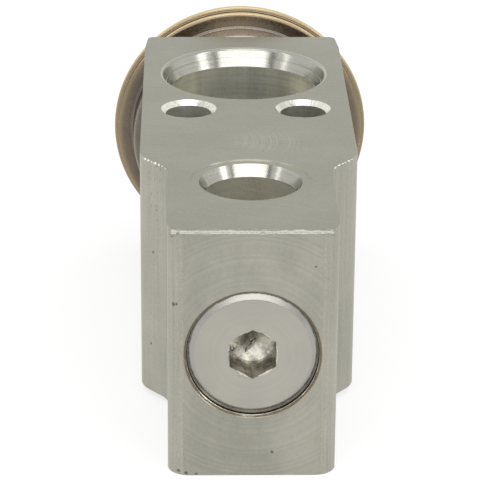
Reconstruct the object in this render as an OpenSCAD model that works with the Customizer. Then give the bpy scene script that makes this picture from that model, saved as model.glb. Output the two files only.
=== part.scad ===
// Block-type thermostatic expansion valve, in millimetres.
// The valve axis runs along Y, from the adjusting screw to the power head.
// The pipe-side face looks up, and the evaporator-side face lies on Z = 0.
// The origin is the middle of the two bolt holes, on the evaporator-side face.

/* [Block] */
// Length of the block along the valve axis
block_len = 81; // [79:0.5:90]
// Distance between the two port faces
block_t = 34.5; // [34:0.5:40]
// Width of the block across its wide part
block_w = 29.8; // [29:0.2:34]
// Width of the narrow end that holds the adjusting screw
nose_w = 22; // [21:0.5:26]
// Length of the narrow end's straight sides
nose_len = 22.8; // [20:0.2:24]
// Length along the axis of the slope between narrow end and wide part
shoulder_run = 4.7; // [3:0.1:6]
// Radius on the four long edges of the narrow end's face
nose_edge_r = 2.8; // [1:0.1:4]
// Radius at the foot of each slope
shoulder_foot_r = 4.5; // [1:0.1:5]
// Radius at the crest of each slope
shoulder_crest_r = 5; // [1:0.1:6]
// Radius on the long edges at the power head end
tail_edge_r = 1; // [0.4:0.1:2]
// Length over which each side draws in towards the power head
tail_taper_len = 5.5; // [3:0.5:8]
// How far each side draws in there
tail_taper = 0.45; // [0.1:0.05:1]
// Broken edge between the screw end and the pipe-side face
front_edge_break = 0.5; // [0.2:0.05:0.8]

/* [Bolt holes] */
// Distance between the two bolt holes
bolt_spacing = 16.4; // [15.6:0.2:18]
// Diameter of the bolt holes, clearance for an M6 bolt
bolt_hole_d = 6.9; // [6.4:0.1:7.2]
// Distance from the narrow end's face to the bolt holes
bolts_from_end = 47; // [46:0.5:48]
// Depth of the chamfer at each end of a bolt hole
bolt_chamfer = 0.55; // [0.2:0.05:0.9]

/* [Liquid inlet port] */
// Distance from the bolt holes to the inlet port
inlet_from_bolts = 29.1; // [28.6:0.1:30]
// Diameter of the inlet port's straight wall
inlet_d = 12.1; // [10:0.1:13]
// Diameter of the lead-in at the face
inlet_mouth_d = 13.9; // [13.5:0.1:15]
// Depth of the lead-in
inlet_lead = 1.75; // [1:0.05:2.5]
// Depth of the inlet port below the face
inlet_depth = 9; // [7:0.5:9.5]
// Diameter of the drilling from the port to the spring chamber
inlet_drill_d = 8; // [5:0.5:8]
// Diameter of the shallow sealing ring milled round the inlet port
inlet_ring_d = 16.3; // [15.5:0.1:18]
// Depth of the shallow sealing ring
inlet_ring_depth = 0.15; // [0.05:0.05:0.4]

/* [Evaporator port] */
// Distance from the bolt holes to the evaporator port
outlet_from_bolts = 17.6; // [17.2:0.1:18]
// Diameter of the evaporator port's straight wall
outlet_d = 15.2; // [12:0.1:15.6]
// Diameter of the lead-in at the face
outlet_mouth_d = 17; // [16.4:0.1:18]
// Depth of the lead-in
outlet_lead = 1.75; // [1:0.05:2.5]
// Depth of the evaporator port below the face
outlet_depth = 9; // [6:0.5:9.5]
// Diameter of the drilling from the port to the orifice
outlet_drill_d = 9; // [7:0.5:9.5]

/* [Suction ports] */
// Distance from the bolt holes to the suction ports
suction_from_bolts = 16.4; // [16:0.1:17]
// Diameter of each suction port's straight wall
suction_d = 21.8; // [20:0.1:22.4]
// Diameter of the lead-in at the face
suction_mouth_d = 24.2; // [23.6:0.1:25]
// Depth of the lead-in
suction_lead = 2.6; // [1.5:0.1:3.5]
// Radius of the lip where the lead-in meets the face
suction_lip_r = 0.6; // [0.2:0.1:0.8]
// Width of the fine ledge half way down the lead-in
suction_ledge = 0.12; // [0.05:0.01:0.2]
// Depth of each suction port below its face
suction_depth = 9.5; // [7:0.5:10]
// Diameter of the passage that joins the two suction ports
passage_d = 16; // [12:0.5:18]

/* [Adjusting screw] */
// Diameter of the adjusting screw's thread
screw_d = 17.1; // [16:0.1:17.6]
// Depth of the screw's face below the block's end
screw_recess = 0.3; // [0:0.05:1]
// Length of the threaded part
screw_thread_len = 5.3; // [4:0.1:5.6]
// Diameter of the smooth inner part that carries the O-ring
screw_land_d = 14.5; // [14:0.1:15]
// Length of the smooth inner part
screw_land_len = 5.4; // [5:0.1:5.8]
// Chamfer at the inner end of the screw's thread
screw_chamfer = 0.5; // [0.2:0.05:0.8]
// Width of the polished bevel round the screw's face, measured on radius
screw_bevel_w = 0.85; // [0.4:0.05:1.2]
// Depth of that bevel
screw_bevel_h = 0.4; // [0.2:0.05:0.8]
// Width across flats of the hex socket
hex_af = 6; // [4:0.5:7]
// Depth of the hex socket
hex_depth = 4.2; // [3:0.1:4.4]
// Countersink that breaks the middle of each flat at the hex socket's rim, measured on radius
hex_countersink = 0.15; // [0.1:0.05:0.4]
// Depth of the pocket that holds the spring
screw_pocket_depth = 3.6; // [2.5:0.1:4]
// Chamfer round the block's mouth for the screw
screw_mouth_chamfer = 0.35; // [0.1:0.05:0.8]
// Thread lead, the screw's travel in one turn
screw_lead = 1; // [0.5:0.25:1.5]
// Number of turns that the screw can be driven in
screw_turns = 1.5; // [0.5:0.25:1.5]

/* [Valve] */
// Distance from the bolt holes to the face of the valve seat
seat_from_bolts = 24.8; // [24.6:0.1:25]
// Outer diameter of the pressed-in valve seat
seat_d = 7; // [6.4:0.1:7.6]
// Length of the valve seat
seat_len = 2.6; // [2.2:0.1:2.8]
// Height of the valve seat above the chamber floor
seat_proud = 0.6; // [0.3:0.1:1]
// Diameter of the orifice
orifice_d = 4.4; // [3:0.1:4.8]
// Chamfer of the orifice's edge
seat_chamfer = 0.3; // [0.1:0.05:0.4]
// Diameter of the valve ball
ball_d = 5.6; // [5.2:0.1:6]
// Diameter of the spring chamber
chamber_d = 12.6; // [12.2:0.1:13]
// Outer diameter of the ball retainer
retainer_d = 10.4; // [9.6:0.1:10.8]
// Thickness of the ball retainer's flange
retainer_t = 2.4; // [2.2:0.1:3]
// Length of the retainer's pilot inside the spring
pilot_len = 2.2; // [1:0.1:2.6]
// Travel of the ball from closed to wide open
valve_lift = 0.8; // [0.3:0.1:1]

/* [Springs] */
// Mean diameter of the valve spring
spring_mean_d = 7.6; // [7.4:0.1:7.8]
// Wire diameter of the valve spring
spring_wire_d = 1.3; // [1:0.1:1.4]
// Number of working coils between the closed end coils
spring_coils = 3; // [2:0.5:3.5]
// Thickness of the damping spring's sheet
damper_t = 0.3; // [0.2:0.05:0.4]
// Number of legs on the damping spring
damper_legs = 6; // [3:1:8]
// Width of a damping spring leg
damper_leg_w = 2.2; // [1.4:0.1:2.8]
// Length of a damping spring leg
damper_leg_len = 2.8; // [2:0.1:3]

/* [Rod and shaft] */
// Diameter of the valve rod
rod_d = 2.6; // [2:0.1:3]
// Diameter of the heat-sensing shaft
shaft_d = 6.4; // [6:0.1:6.8]
// Depth of the shaft bore below the suction passage
shaft_bore_depth = 13.4; // [12:0.1:14]
// Depth of the rod's seat in the shaft
rod_socket_depth = 4; // [2:0.5:6]
// Thickness of the push nut
push_nut_t = 0.4; // [0.2:0.05:0.6]
// Number of teeth on the push nut
push_nut_teeth = 6; // [4:1:8]
// Outer diameter of the resin sleeve
sleeve_d = 8.2; // [7.6:0.1:8.3]

/* [Power head] */
// Outer diameter of the upper flange, the rim
rim_d = 40.2; // [38:0.1:44]
// How far the upper flange stands out past the lower one
rim_overhang = 0.65; // [0.3:0.05:1]
// Width of the lower flange outside the dish's wall
flange_w = 2.45; // [2:0.05:3]
// Height of the dish from the block to the underside of its flange
dish_h = 5.4; // [4:0.1:7]
// Sheet thickness of both housings
shell_t = 1.1; // [0.8:0.1:1.3]
// Inner bend radius at the bottom corner of the dish
dish_bend_r = 0.4; // [0.2:0.1:1]
// Inner bend radius where the dish turns out into its flange
flange_bend_r = 0.5; // [0.2:0.1:0.8]
// Thickness of the diaphragm
diaphragm_t = 0.15; // [0.1:0.05:0.2]
// Height of one diaphragm corrugation
corrugation_h = 0.35; // [0.2:0.05:0.5]
// Height of the upper housing's crown above its flange
crown_h = 5; // [4:0.1:7]
// Diameter of the flat top of the crown
crown_top_d = 15; // [12:0.5:18]
// Height of the steep step at the foot of the crown
crown_step_h = 2.4; // [1.8:0.1:3]
// Width of that step, measured on radius
crown_step_w = 1.4; // [1:0.1:2]
// How far inside the dish's wall the crown meets the flange
crown_inset = 0.6; // [0:0.1:0.9]
// Depth of the dimple round the charge plug
dimple_depth = 0.6; // [0.4:0.1:1]
// Thread diameter of the mounting seat
boss_d = 20; // [18:0.5:21]
// Length of the mounting seat inside the block
boss_len = 5.4; // [4.5:0.1:5.4]
// Bore of the mounting seat
boss_bore_d = 13; // [12:0.5:13.5]
// Diameter of the mounting seat's collar in the lower housing
boss_collar_d = 17.2; // [16:0.2:17.6]
// Width of the diaphragm's free ring, from the stopper to the foot of the crown
free_ring_w = 3.9; // [3.5:0.1:5]
// Thickness of the diaphragm stopper
stopper_t = 1.3; // [1:0.1:1.5]
// Diameter of the stopper's hub round the shaft
stopper_hub_d = 9.2; // [8.6:0.1:10]
// Diameter of the charge plug's head
plug_head_d = 5.2; // [4:0.1:6]
// Diameter of the charge plug's shank
plug_shank_d = 3; // [2:0.1:3.6]

/* [Seals] */
// Cord diameter of the adjusting screw's O-ring
screw_oring_cord = 1.4; // [1.2:0.05:1.5]
// Cord diameter of the power head's O-ring
head_oring_cord = 1.5; // [1.2:0.05:1.6]

/* [Hidden] */
$fn = 96;

// Clearances
run_fit = 0.05;        // radial clearance of a sliding or turning fit
seal_fit = 0.04;       // clearance between a seal's cord and each wall it touches
land_gap = 0.1;        // radial gap round the screw's smooth part
touch_gap = 0.02;      // gap where a curved face rests on its seat
spring_gap = 0.25;     // radial gap beside the spring's coils
free_gap = 0.3;        // gap that keeps a moving piece off its neighbours
cut_over = 1;          // how far a cutting tool runs past the face it opens
corner_over = 0.05;    // how far a corner's rounding runs past the corner's sides
join = 0.1;            // how far two solids of one piece run into each other

// Small features that don't change with the valve's size
groove_widening = 1.4; // width of the O-ring's groove over the cord's diameter
groove_land = 1.1;     // smooth part of the screw left inside the groove
drill_slope = 2.4;     // a drill tip's radius over its height
cup_floor_r = 0.9;     // radius of the flat bottom in the ball retainer's cup
turned_edge = 0.4;     // chamfer on the ends of the rod and the shaft
sleeve_edge = 0.5;     // chamfer on the sleeve's lower end
thread_edge = 0.5;     // chamfer on the mounting seat's thread
tooth_slot = 0.4;      // width of the slots between the push nut's teeth
tooth_rim = 0.7;       // rim left outside those slots
seat_lip_w = 1;        // width of the mounting seat's lip in the lower housing
seat_lip_t = 0.5;      // thickness of that lip
hub_len = 3.2;         // length of the stopper's hub
bend_steps = 6;        // steps in the arc of a bend or a port's lip
plug_head_h = 0.9;     // height of the charge plug's head
crown_bends = [0.2, 0.2, 1, 1.5, 0.8];  // bend radii from the charge plug to the flange

// Places along the valve axis, measured from the block's screw end
axis_z = block_t / 2;
seat_face = bolts_from_end - seat_from_bolts;
chamber_floor = seat_face + seat_proud;
inlet_at = bolts_from_end - inlet_from_bolts;
outlet_at = bolts_from_end - outlet_from_bolts;
suction_at = bolts_from_end + suction_from_bolts;
shaft_bore_floor = suction_at - passage_d / 2 - shaft_bore_depth;
recess_depth = boss_len + 0.1;

// Adjusting screw and its bore
screw_travel = screw_lead * screw_turns;
screw_bore_r = screw_d / 2 + run_fit;
screw_bore_depth = screw_recess + screw_thread_len + screw_travel + free_gap;
seal_bore_r = screw_land_d / 2 + land_gap;
seal_bore_depth = screw_recess + screw_thread_len + screw_land_len + screw_travel + free_gap;
groove_w = screw_oring_cord * groove_widening;
groove_at = screw_recess + screw_thread_len + screw_land_len - groove_land - groove_w;
groove_r = seal_bore_r - screw_oring_cord - 2 * seal_fit;
pocket_r = spring_mean_d / 2 + spring_wire_d / 2 + spring_gap;
pocket_floor = screw_recess + screw_thread_len + screw_land_len - screw_pocket_depth;

// Ball, retainer and spring
ball_r = ball_d / 2;
orifice_r = orifice_d / 2;
ball_at = seat_face + seat_chamfer - sqrt(pow(ball_r, 2) - pow(orifice_r, 2)) - touch_gap;
cone_apex = ball_at - ball_r * sqrt(2) - touch_gap;
retainer_top = ball_at - ball_r / 2;
retainer_foot = retainer_top - retainer_t;
pilot_r = spring_mean_d / 2 - spring_wire_d / 2 - spring_gap;
spring_top = retainer_foot - damper_t;
spring_len = spring_top - pocket_floor;
ground_off = spring_wire_d / 2;

// Rod, shaft and their seals
rod_r = rod_d / 2;
shaft_r = shaft_d / 2;
shaft_bore_r = shaft_r + run_fit;
rod_oring_r = (shaft_bore_r - rod_r) / 2 - seal_fit;
rod_oring_mid = (shaft_bore_r + rod_r) / 2;
push_nut_at = shaft_bore_floor + 2 * (rod_oring_r + seal_fit) + free_gap;
shaft_end = push_nut_at + push_nut_t + valve_lift + 3 * free_gap;
rod_end = ball_at + ball_r + touch_gap;
sleeve_bore_r = sleeve_d / 2 + free_gap;

// Power head
rim_r = rim_d / 2;
lower_flange_r = rim_r - rim_overhang;
dish_r = lower_flange_r - flange_w;
crown_foot_r = dish_r - crown_inset;
stopper_r = crown_foot_r - free_ring_w;
flange_at = block_len + dish_h;
diaphragm_at = flange_at + shell_t;
upper_at = diaphragm_at + diaphragm_t;
stopper_top = diaphragm_at - touch_gap;
stopper_foot = stopper_top - stopper_t;
hub_foot = stopper_foot - hub_len;
boss_r = boss_d / 2;
boss_bore_r = boss_bore_d / 2;
collar_r = boss_collar_d / 2;
head_oring_r = head_oring_cord / 2;
head_oring_mid = boss_r + seal_fit + head_oring_r;
// The chamfer that just clears an O-ring lying against the seat and the dish
gland_leg = (2 + sqrt(2)) * (head_oring_r + seal_fit);
plug_head_r = plug_head_d / 2;
plug_shank_r = plug_shank_d / 2;

// Places its children on the valve axis, their Z along it, at a distance from the screw end
module on_axis(at) {
    translate([0, at - bolts_from_end, axis_z]) rotate([-90, 0, 0]) children();
}

// A round drilling or shaft along the valve axis
module axis_rod(from, to, r) {
    on_axis(from) cylinder(r = r, h = to - from);
}

// A cone frustum along the valve axis
module axis_cone(from, to, r_from, r_to) {
    on_axis(from) cylinder(r1 = r_from, r2 = r_to, h = to - from);
}

// The curved triangle between a corner and an arc that is tangent to both its sides.
// side_1 and side_2 are unit vectors from the corner along its two sides. The piece runs a
// little past both sides, so that it joins or cuts cleanly, and its outline is anticlockwise.
module corner_piece(corner, side_1, side_2, r) {
    right = cross(side_1, side_2) > 0 ? side_1 : side_2;
    left = cross(side_1, side_2) > 0 ? side_2 : side_1;
    half = acos(right * left) / 2;
    inward = (right + left) / norm(right + left);
    centre = corner + inward * r / sin(half);
    touch_right = corner + right * r / tan(half);
    touch_left = corner + left * r / tan(half);
    difference() {
        polygon([corner - inward * corner_over / sin(half),
                 touch_right + (touch_right - centre) * corner_over / r, centre,
                 touch_left + (touch_left - centre) * corner_over / r]);
        translate(centre) circle(r = r);
    }
}

// Unit vector from one point to another
function toward(from, to) = (to - from) / norm(to - from);

// Unit vector a quarter turn to the left of a direction
function left_of(v) = [-v[1], v[0]];

// Points of the arc that rounds corner i of a path, tangent to both its sides
function bend(path, i, r) =
    let (before = toward(path[i - 1], path[i]), after = toward(path[i], path[i + 1]),
         turn = acos(before * after), aside = left_of(before) * sign(cross(before, after)),
         centre = path[i] - before * r * tan(turn / 2) + aside * r)
    [for (k = [0:bend_steps]) let (a = turn * k / bend_steps)
        centre + r * (before * sin(a) - aside * cos(a))];

// Cross-section of the extruded block, with its screw end at Y = 0
module block_section() {
    half_w = block_w / 2;
    half_nose = nose_w / 2;
    crest_y = nose_len + shoulder_run;
    slope = toward([half_nose, nose_len], [half_w, crest_y]);
    taper_from = [half_w, block_len - tail_taper_len];
    tail_corner = [half_w - tail_taper, block_len];
    right = [[half_nose, 0], [half_nose, nose_len], [half_w, crest_y], taper_from, tail_corner];
    left = [for (i = [len(right) - 1:-1:0]) [-right[i][0], right[i][1]]];
    difference() {
        union() {
            polygon(concat(right, left));
            for (side = [0, 1]) mirror([side, 0])
                corner_piece([half_nose, nose_len], [0, -1], slope, shoulder_foot_r);
        }
        for (side = [0, 1]) mirror([side, 0]) {
            corner_piece([half_nose, 0], [-1, 0], [0, 1], nose_edge_r);
            corner_piece([half_w, crest_y], -slope, [0, 1], shoulder_crest_r);
            corner_piece(tail_corner, toward(tail_corner, taper_from), [-1, 0], tail_edge_r);
        }
    }
}

// A port cut downwards from Z = 0: straight wall, conical lead-in with a ledge half way, rounded lip
module port_cut(r, depth, mouth_r, lead, lip_r, ledge) {
    lip = bend([[r, -lead], [mouth_r, 0], [mouth_r + lip_r, 0]], 1, lip_r);
    ledge_at = [(r + mouth_r - ledge) / 2, -lead / 2];
    wall = [[0, -depth], [r, -depth], [r, -lead], ledge_at, ledge_at + [ledge, 0]];
    top = [[lip[bend_steps][0], cut_over], [0, cut_over]];
    rotate_extrude() polygon(concat(wall, lip, top));
}

// A port without a lip radius
module plain_port_cut(r, depth, mouth_r, lead) {
    translate([0, 0, -depth]) cylinder(r = r, h = depth + cut_over);
    translate([0, 0, -lead]) cylinder(r1 = r, r2 = mouth_r, h = lead);
}

module suction_port_cut() {
    port_cut(suction_d / 2, suction_depth, suction_mouth_d / 2, suction_lead, suction_lip_r, suction_ledge);
}

// Places its children at a distance from the screw end, on the pipe-side face
module on_pipe_face(at) {
    translate([0, at - bolts_from_end, block_t]) children();
}

// Places its children at a distance from the screw end, upside down on the evaporator-side face
module on_evaporator_face(at) {
    translate([0, at - bolts_from_end, 0]) rotate([180, 0, 0]) children();
}

module bolt_holes() {
    hole_r = bolt_hole_d / 2;
    mouth_r = hole_r + bolt_chamfer;
    for (side = [-1, 1]) translate([side * bolt_spacing / 2, 0, 0]) {
        translate([0, 0, -cut_over]) cylinder(r = hole_r, h = block_t + 2 * cut_over);
        translate([0, 0, block_t - bolt_chamfer]) cylinder(r1 = hole_r, r2 = mouth_r, h = bolt_chamfer);
        cylinder(r1 = mouth_r, r2 = hole_r, h = bolt_chamfer);
    }
}

// All drillings along the valve axis
module axis_bores() {
    axis_rod(-cut_over, screw_bore_depth, screw_bore_r);
    axis_cone(0, screw_mouth_chamfer, screw_bore_r + screw_mouth_chamfer, screw_bore_r);
    axis_rod(screw_bore_depth - cut_over, seal_bore_depth, seal_bore_r);
    axis_rod(seal_bore_depth - cut_over, chamber_floor, chamber_d / 2);
    axis_rod(chamber_floor - cut_over, outlet_at, seat_d / 2);
    axis_rod(outlet_at, shaft_bore_floor + cut_over, rod_r + run_fit);
    axis_rod(shaft_bore_floor, suction_at, shaft_bore_r);
    axis_rod(suction_at, block_len, sleeve_bore_r);
    axis_rod(block_len - recess_depth, block_len + cut_over, boss_r + touch_gap);
    axis_cone(block_len - gland_leg, block_len, boss_r + touch_gap, boss_r + touch_gap + gland_leg);
}

// The broken edge along the top of the screw end
module front_edge_cut() {
    leg = front_edge_break + cut_over;
    translate([-nose_w / 2, -bolts_from_end, block_t]) rotate([90, 0, 90])
        linear_extrude(height = nose_w)
            polygon([[-cut_over, -leg], [leg, cut_over], [-cut_over, cut_over]]);
}

module valve_block() {
    color("darkgray") difference() {
        translate([0, -bolts_from_end, 0]) linear_extrude(height = block_t) block_section();
        bolt_holes();
        axis_bores();
        on_pipe_face(inlet_at) {
            plain_port_cut(inlet_d / 2, inlet_depth, inlet_mouth_d / 2, inlet_lead);
            translate([0, 0, -inlet_ring_depth]) cylinder(r = inlet_ring_d / 2, h = cut_over);
            translate([0, 0, -axis_z]) cylinder(r = inlet_drill_d / 2, h = axis_z);
        }
        on_evaporator_face(outlet_at) {
            plain_port_cut(outlet_d / 2, outlet_depth, outlet_mouth_d / 2, outlet_lead);
            translate([0, 0, -axis_z - outlet_drill_d / 3]) cylinder(r = outlet_drill_d / 2, h = axis_z);
        }
        on_pipe_face(suction_at) {
            suction_port_cut();
            translate([0, 0, cut_over - block_t]) cylinder(r = passage_d / 2, h = block_t - 2 * cut_over);
        }
        on_evaporator_face(suction_at) suction_port_cut();
        front_edge_cut();
    }
}

module valve_seat() {
    color("silver") difference() {
        axis_rod(seat_face, seat_face + seat_len, seat_d / 2);
        axis_rod(seat_face - cut_over, seat_face + seat_len + cut_over, orifice_r);
        axis_cone(seat_face, seat_face + seat_chamfer, orifice_r + seat_chamfer, orifice_r);
    }
}

module adjusting_screw() {
    face = screw_recess;
    thread_end = face + screw_thread_len;
    land_end = thread_end + screw_land_len;
    hex_r = hex_af / 2 / cos(30);
    socket_rim_r = hex_af / 2 + hex_countersink;
    drill_r = hex_af / 2 - join;
    drill_from = face + hex_depth - touch_gap;
    drill_to = face + hex_depth + drill_r / drill_slope;
    color("gainsboro") difference() {
        union() {
            axis_cone(face, face + screw_bevel_h, screw_d / 2 - screw_bevel_w, screw_d / 2);
            axis_rod(face + screw_bevel_h, thread_end - screw_chamfer, screw_d / 2);
            axis_cone(thread_end - screw_chamfer, thread_end, screw_d / 2, screw_d / 2 - screw_chamfer);
            axis_rod(thread_end - screw_chamfer, land_end, screw_land_d / 2);
        }
        on_axis(groove_at) difference() {
            cylinder(r = screw_land_d / 2 + cut_over, h = groove_w);
            translate([0, 0, -cut_over]) cylinder(r = groove_r, h = groove_w + 2 * cut_over);
        }
        on_axis(face - cut_over) rotate(30) cylinder(r = hex_r, h = hex_depth + cut_over, $fn = 6);
        axis_cone(face, face + socket_rim_r - drill_r, socket_rim_r, drill_r);
        axis_cone(drill_from, drill_to, drill_r, touch_gap);
        axis_rod(pocket_floor, land_end + cut_over, pocket_r);
    }
}

module adjusting_screw_oring() {
    color("dimgray") on_axis(groove_at + groove_w / 2)
        rotate_extrude() translate([seal_bore_r - seal_fit - screw_oring_cord / 2, 0])
            circle(r = screw_oring_cord / 2);
}

// Height of the spring wire's centre after a number of turns: each end coil lies closed
function wire_rise(turn, total) =
    let (closed = spring_wire_d, working = spring_len - 3 * spring_wire_d + 2 * ground_off)
    turn < 1 ? turn * closed
    : turn > total - 1 ? closed + working + (turn - total + 1) * closed
    : closed + working * (turn - 1) / (total - 2);

// A round wire swept along the rising helix
module wire_coil() {
    total = spring_coils + 2;
    steps_per_turn = 28;
    sides = 10;
    steps = round(total * steps_per_turn);
    mean_r = spring_mean_d / 2;
    points = [for (i = [0:steps])
        let (turn = i / steps_per_turn, a = 360 * turn, rise = wire_rise(turn, total))
        for (k = [0:sides - 1])
            let (b = 360 * k / sides, out = mean_r + spring_wire_d / 2 * cos(b))
            [out * cos(a), out * sin(a), rise + spring_wire_d / 2 * sin(b)]];
    walls = [for (i = [0:steps - 1], k = [0:sides - 1])
        let (n = (k + 1) % sides, low = i * sides, high = low + sides)
        [low + k, high + k, high + n, low + n]];
    first_cap = [for (k = [0:sides - 1]) k];
    last_cap = [for (k = [sides - 1:-1:0]) steps * sides + k];
    polyhedron(points = points, faces = concat([first_cap], walls, [last_cap]), convexity = 6);
}

module valve_spring() {
    color("slategray") on_axis(pocket_floor) intersection() {
        translate([0, 0, spring_wire_d / 2 - ground_off]) wire_coil();
        cylinder(r = spring_mean_d, h = spring_len);
    }
}

module damping_spring() {
    ring_r = retainer_d / 2;
    splay = asin((chamber_d / 2 - run_fit - ring_r) / (damper_leg_len + damper_leg_w / 2));
    leg_top = damper_t * (1 - sin(splay));
    color("lightsteelblue") on_axis(spring_top) {
        difference() {
            cylinder(r = ring_r, h = damper_t);
            translate([0, 0, -cut_over]) cylinder(r = pilot_r + touch_gap, h = damper_t + 2 * cut_over);
        }
        for (i = [0:damper_legs - 1]) rotate(360 * i / damper_legs)
            translate([ring_r - 1.5 * damper_t, -damper_leg_w / 2, leg_top]) rotate([0, -splay, 0])
                translate([0, 0, -damper_leg_len]) cube([damper_t, damper_leg_w, damper_leg_len]);
    }
}

module ball_retainer() {
    cup_floor = cone_apex + cup_floor_r;
    cup_mouth = retainer_top + cut_over;
    color("tan") difference() {
        union() {
            axis_rod(retainer_foot, retainer_top, retainer_d / 2);
            axis_rod(retainer_foot - pilot_len, retainer_foot + join, pilot_r);
        }
        axis_cone(cup_floor, cup_mouth, cup_floor_r, cup_mouth - cone_apex);
    }
}

module valve_ball() {
    color("silver") on_axis(ball_at) sphere(r = ball_r);
}

module valve_rod() {
    top = shaft_end + rod_socket_depth - touch_gap;
    color("silver") {
        axis_rod(rod_end + turned_edge, top, rod_r);
        axis_cone(rod_end, rod_end + turned_edge, rod_r - turned_edge, rod_r);
    }
}

module rod_oring() {
    color("dimgray") on_axis(shaft_bore_floor + rod_oring_r + seal_fit)
        rotate_extrude() translate([rod_oring_mid, 0]) circle(r = rod_oring_r);
}

module push_nut() {
    at = push_nut_at;
    inner_r = rod_r + free_gap;
    color("lightsteelblue") difference() {
        axis_rod(at, at + push_nut_t, shaft_bore_r);
        axis_rod(at - cut_over, at + push_nut_t + cut_over, inner_r);
        on_axis(at - cut_over) for (i = [0:push_nut_teeth - 1]) rotate(360 * i / push_nut_teeth)
            translate([0, -tooth_slot / 2, 0])
                cube([shaft_bore_r - tooth_rim, tooth_slot, push_nut_t + 2 * cut_over]);
    }
}

module heat_sensing_shaft() {
    top = stopper_foot + stopper_t / 2;
    edge = turned_edge;
    color("burlywood") difference() {
        union() {
            axis_cone(shaft_end, shaft_end + edge, shaft_r - edge, shaft_r);
            axis_rod(shaft_end + edge, top - edge, shaft_r);
            axis_cone(top - edge, top, shaft_r, shaft_r - edge);
        }
        axis_rod(shaft_end - cut_over, shaft_end + rod_socket_depth, rod_r + touch_gap);
    }
}

// The sleeve covers the shaft from the passage's far wall, which curves round it, to the stopper's hub
module shaft_sleeve() {
    from = suction_at - sqrt(pow(passage_d / 2, 2) - pow(sleeve_d / 2, 2)) + valve_lift + free_gap;
    to = hub_foot - touch_gap;
    edge = sleeve_edge;
    color("dimgray") difference() {
        union() {
            axis_cone(from, from + edge, sleeve_d / 2 - edge, sleeve_d / 2);
            axis_rod(from + edge, to, sleeve_d / 2);
        }
        axis_rod(from - cut_over, to + cut_over, shaft_r + touch_gap);
    }
}

module diaphragm_stopper() {
    socket_top = stopper_foot + stopper_t / 2 + touch_gap;
    color("silver") difference() {
        union() {
            axis_rod(stopper_foot, stopper_top, stopper_r);
            axis_rod(hub_foot, stopper_foot + join, stopper_hub_d / 2);
        }
        axis_rod(hub_foot - cut_over, socket_top, shaft_r + touch_gap);
    }
}

// Outline of the thin disc: flat where it is clamped and carried, two rings of corrugation between
module diaphragm() {
    clamp_r = crown_foot_r - shell_t - flange_bend_r;
    edge_r = lower_flange_r - shell_t / 2;
    inner_r = stopper_r + touch_gap;
    pitch = (clamp_r - inner_r) / 2;
    steps = 12;
    wave = [for (i = [0:2 * steps]) let (r = inner_r + pitch * i / steps)
        [r, corrugation_h / 2 * (1 - cos(360 * i / steps))]];
    lower = concat([[0, 0]], wave, [[edge_r, 0]]);
    upper = [for (i = [len(lower) - 1:-1:0]) lower[i] + [0, diaphragm_t]];
    color("gold") on_axis(diaphragm_at) rotate_extrude() polygon(concat(lower, upper));
}

// The point beside corner i of a path, a sheet's thickness to the left of both its sides
function beside(path, i, t) =
    let (into = i > 0 ? left_of(toward(path[i - 1], path[i])) : left_of(toward(path[0], path[1])),
         out = i < len(path) - 1 ? left_of(toward(path[i], path[i + 1])) : into)
    path[i] + (into + out) * t / (1 + into * out);

// A path with an arc at each corner between its ends
function rounded(path, radii) =
    concat([path[0]], [for (i = [1:len(radii)]) each bend(path, i, radii[i - 1])], [path[len(path) - 1]]);

// Section of a pressed sheet that lies to the left of a path, bent to an inner radius at each corner
module pressed_sheet(path, bends, t) {
    back = [for (i = [0:len(path) - 1]) beside(path, i, t)];
    turns_left = [for (i = [1:len(bends)]) cross(path[i] - path[i - 1], path[i + 1] - path[i]) > 0];
    path_radii = [for (i = [0:len(bends) - 1]) bends[i] + (turns_left[i] ? t : 0)];
    back_radii = [for (i = [0:len(bends) - 1]) bends[i] + (turns_left[i] ? 0 : t)];
    front = rounded(path, path_radii);
    rear = rounded(back, back_radii);
    polygon(concat(front, [for (i = [len(rear) - 1:-1:0]) rear[i]]));
}

// A pressed sheet spun round the valve axis, with a round edge where its path ends
module pressed_shell(at, path, bends) {
    edge = path[len(path) - 1];
    color("peru") on_axis(at) rotate_extrude() {
        pressed_sheet(path, bends, shell_t);
        translate(edge + [0, shell_t / 2]) circle(r = shell_t / 2);
    }
}

module power_head_lower_housing() {
    edge_r = lower_flange_r - shell_t / 2;
    pressed_shell(block_len,
        [[collar_r, 0], [dish_r, 0], [dish_r, dish_h], [edge_r, dish_h]],
        [dish_bend_r, flange_bend_r]);
}

module power_head_upper_housing() {
    edge_r = rim_r - shell_t / 2;
    dimple_r = plug_head_r + shell_t;
    dimple_floor = crown_h - dimple_depth;
    pressed_shell(upper_at,
        [[plug_shank_r + touch_gap, dimple_floor], [dimple_r, dimple_floor],
         [dimple_r + dimple_depth, crown_h], [crown_top_d / 2, crown_h],
         [crown_foot_r - crown_step_w, crown_step_h], [crown_foot_r, 0], [edge_r, 0]],
        crown_bends);
}

module power_head_mounting_seat() {
    thread_foot = block_len - boss_len;
    collar_top = block_len + shell_t;
    color("darkkhaki") difference() {
        union() {
            axis_cone(thread_foot, thread_foot + thread_edge, boss_r - thread_edge, boss_r);
            axis_rod(thread_foot + thread_edge, block_len, boss_r);
            axis_rod(block_len - cut_over, collar_top + join, collar_r);
            axis_rod(collar_top, collar_top + seat_lip_t, collar_r + seat_lip_w);
        }
        axis_rod(thread_foot - cut_over, collar_top + cut_over, boss_bore_r);
    }
}

module power_head_seal() {
    color("dimgray") on_axis(block_len - head_oring_r - seal_fit)
        rotate_extrude() translate([head_oring_mid, 0]) circle(r = head_oring_r);
}

module charge_plug() {
    seat = upper_at + crown_h + shell_t - dimple_depth;
    edge = plug_head_h / 2;
    color("silver") {
        axis_rod(seat - shell_t, seat + join, plug_shank_r);
        axis_rod(seat, seat + edge, plug_head_r);
        axis_cone(seat + edge, seat + plug_head_h, plug_head_r, plug_head_r - edge);
    }
}

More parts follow.
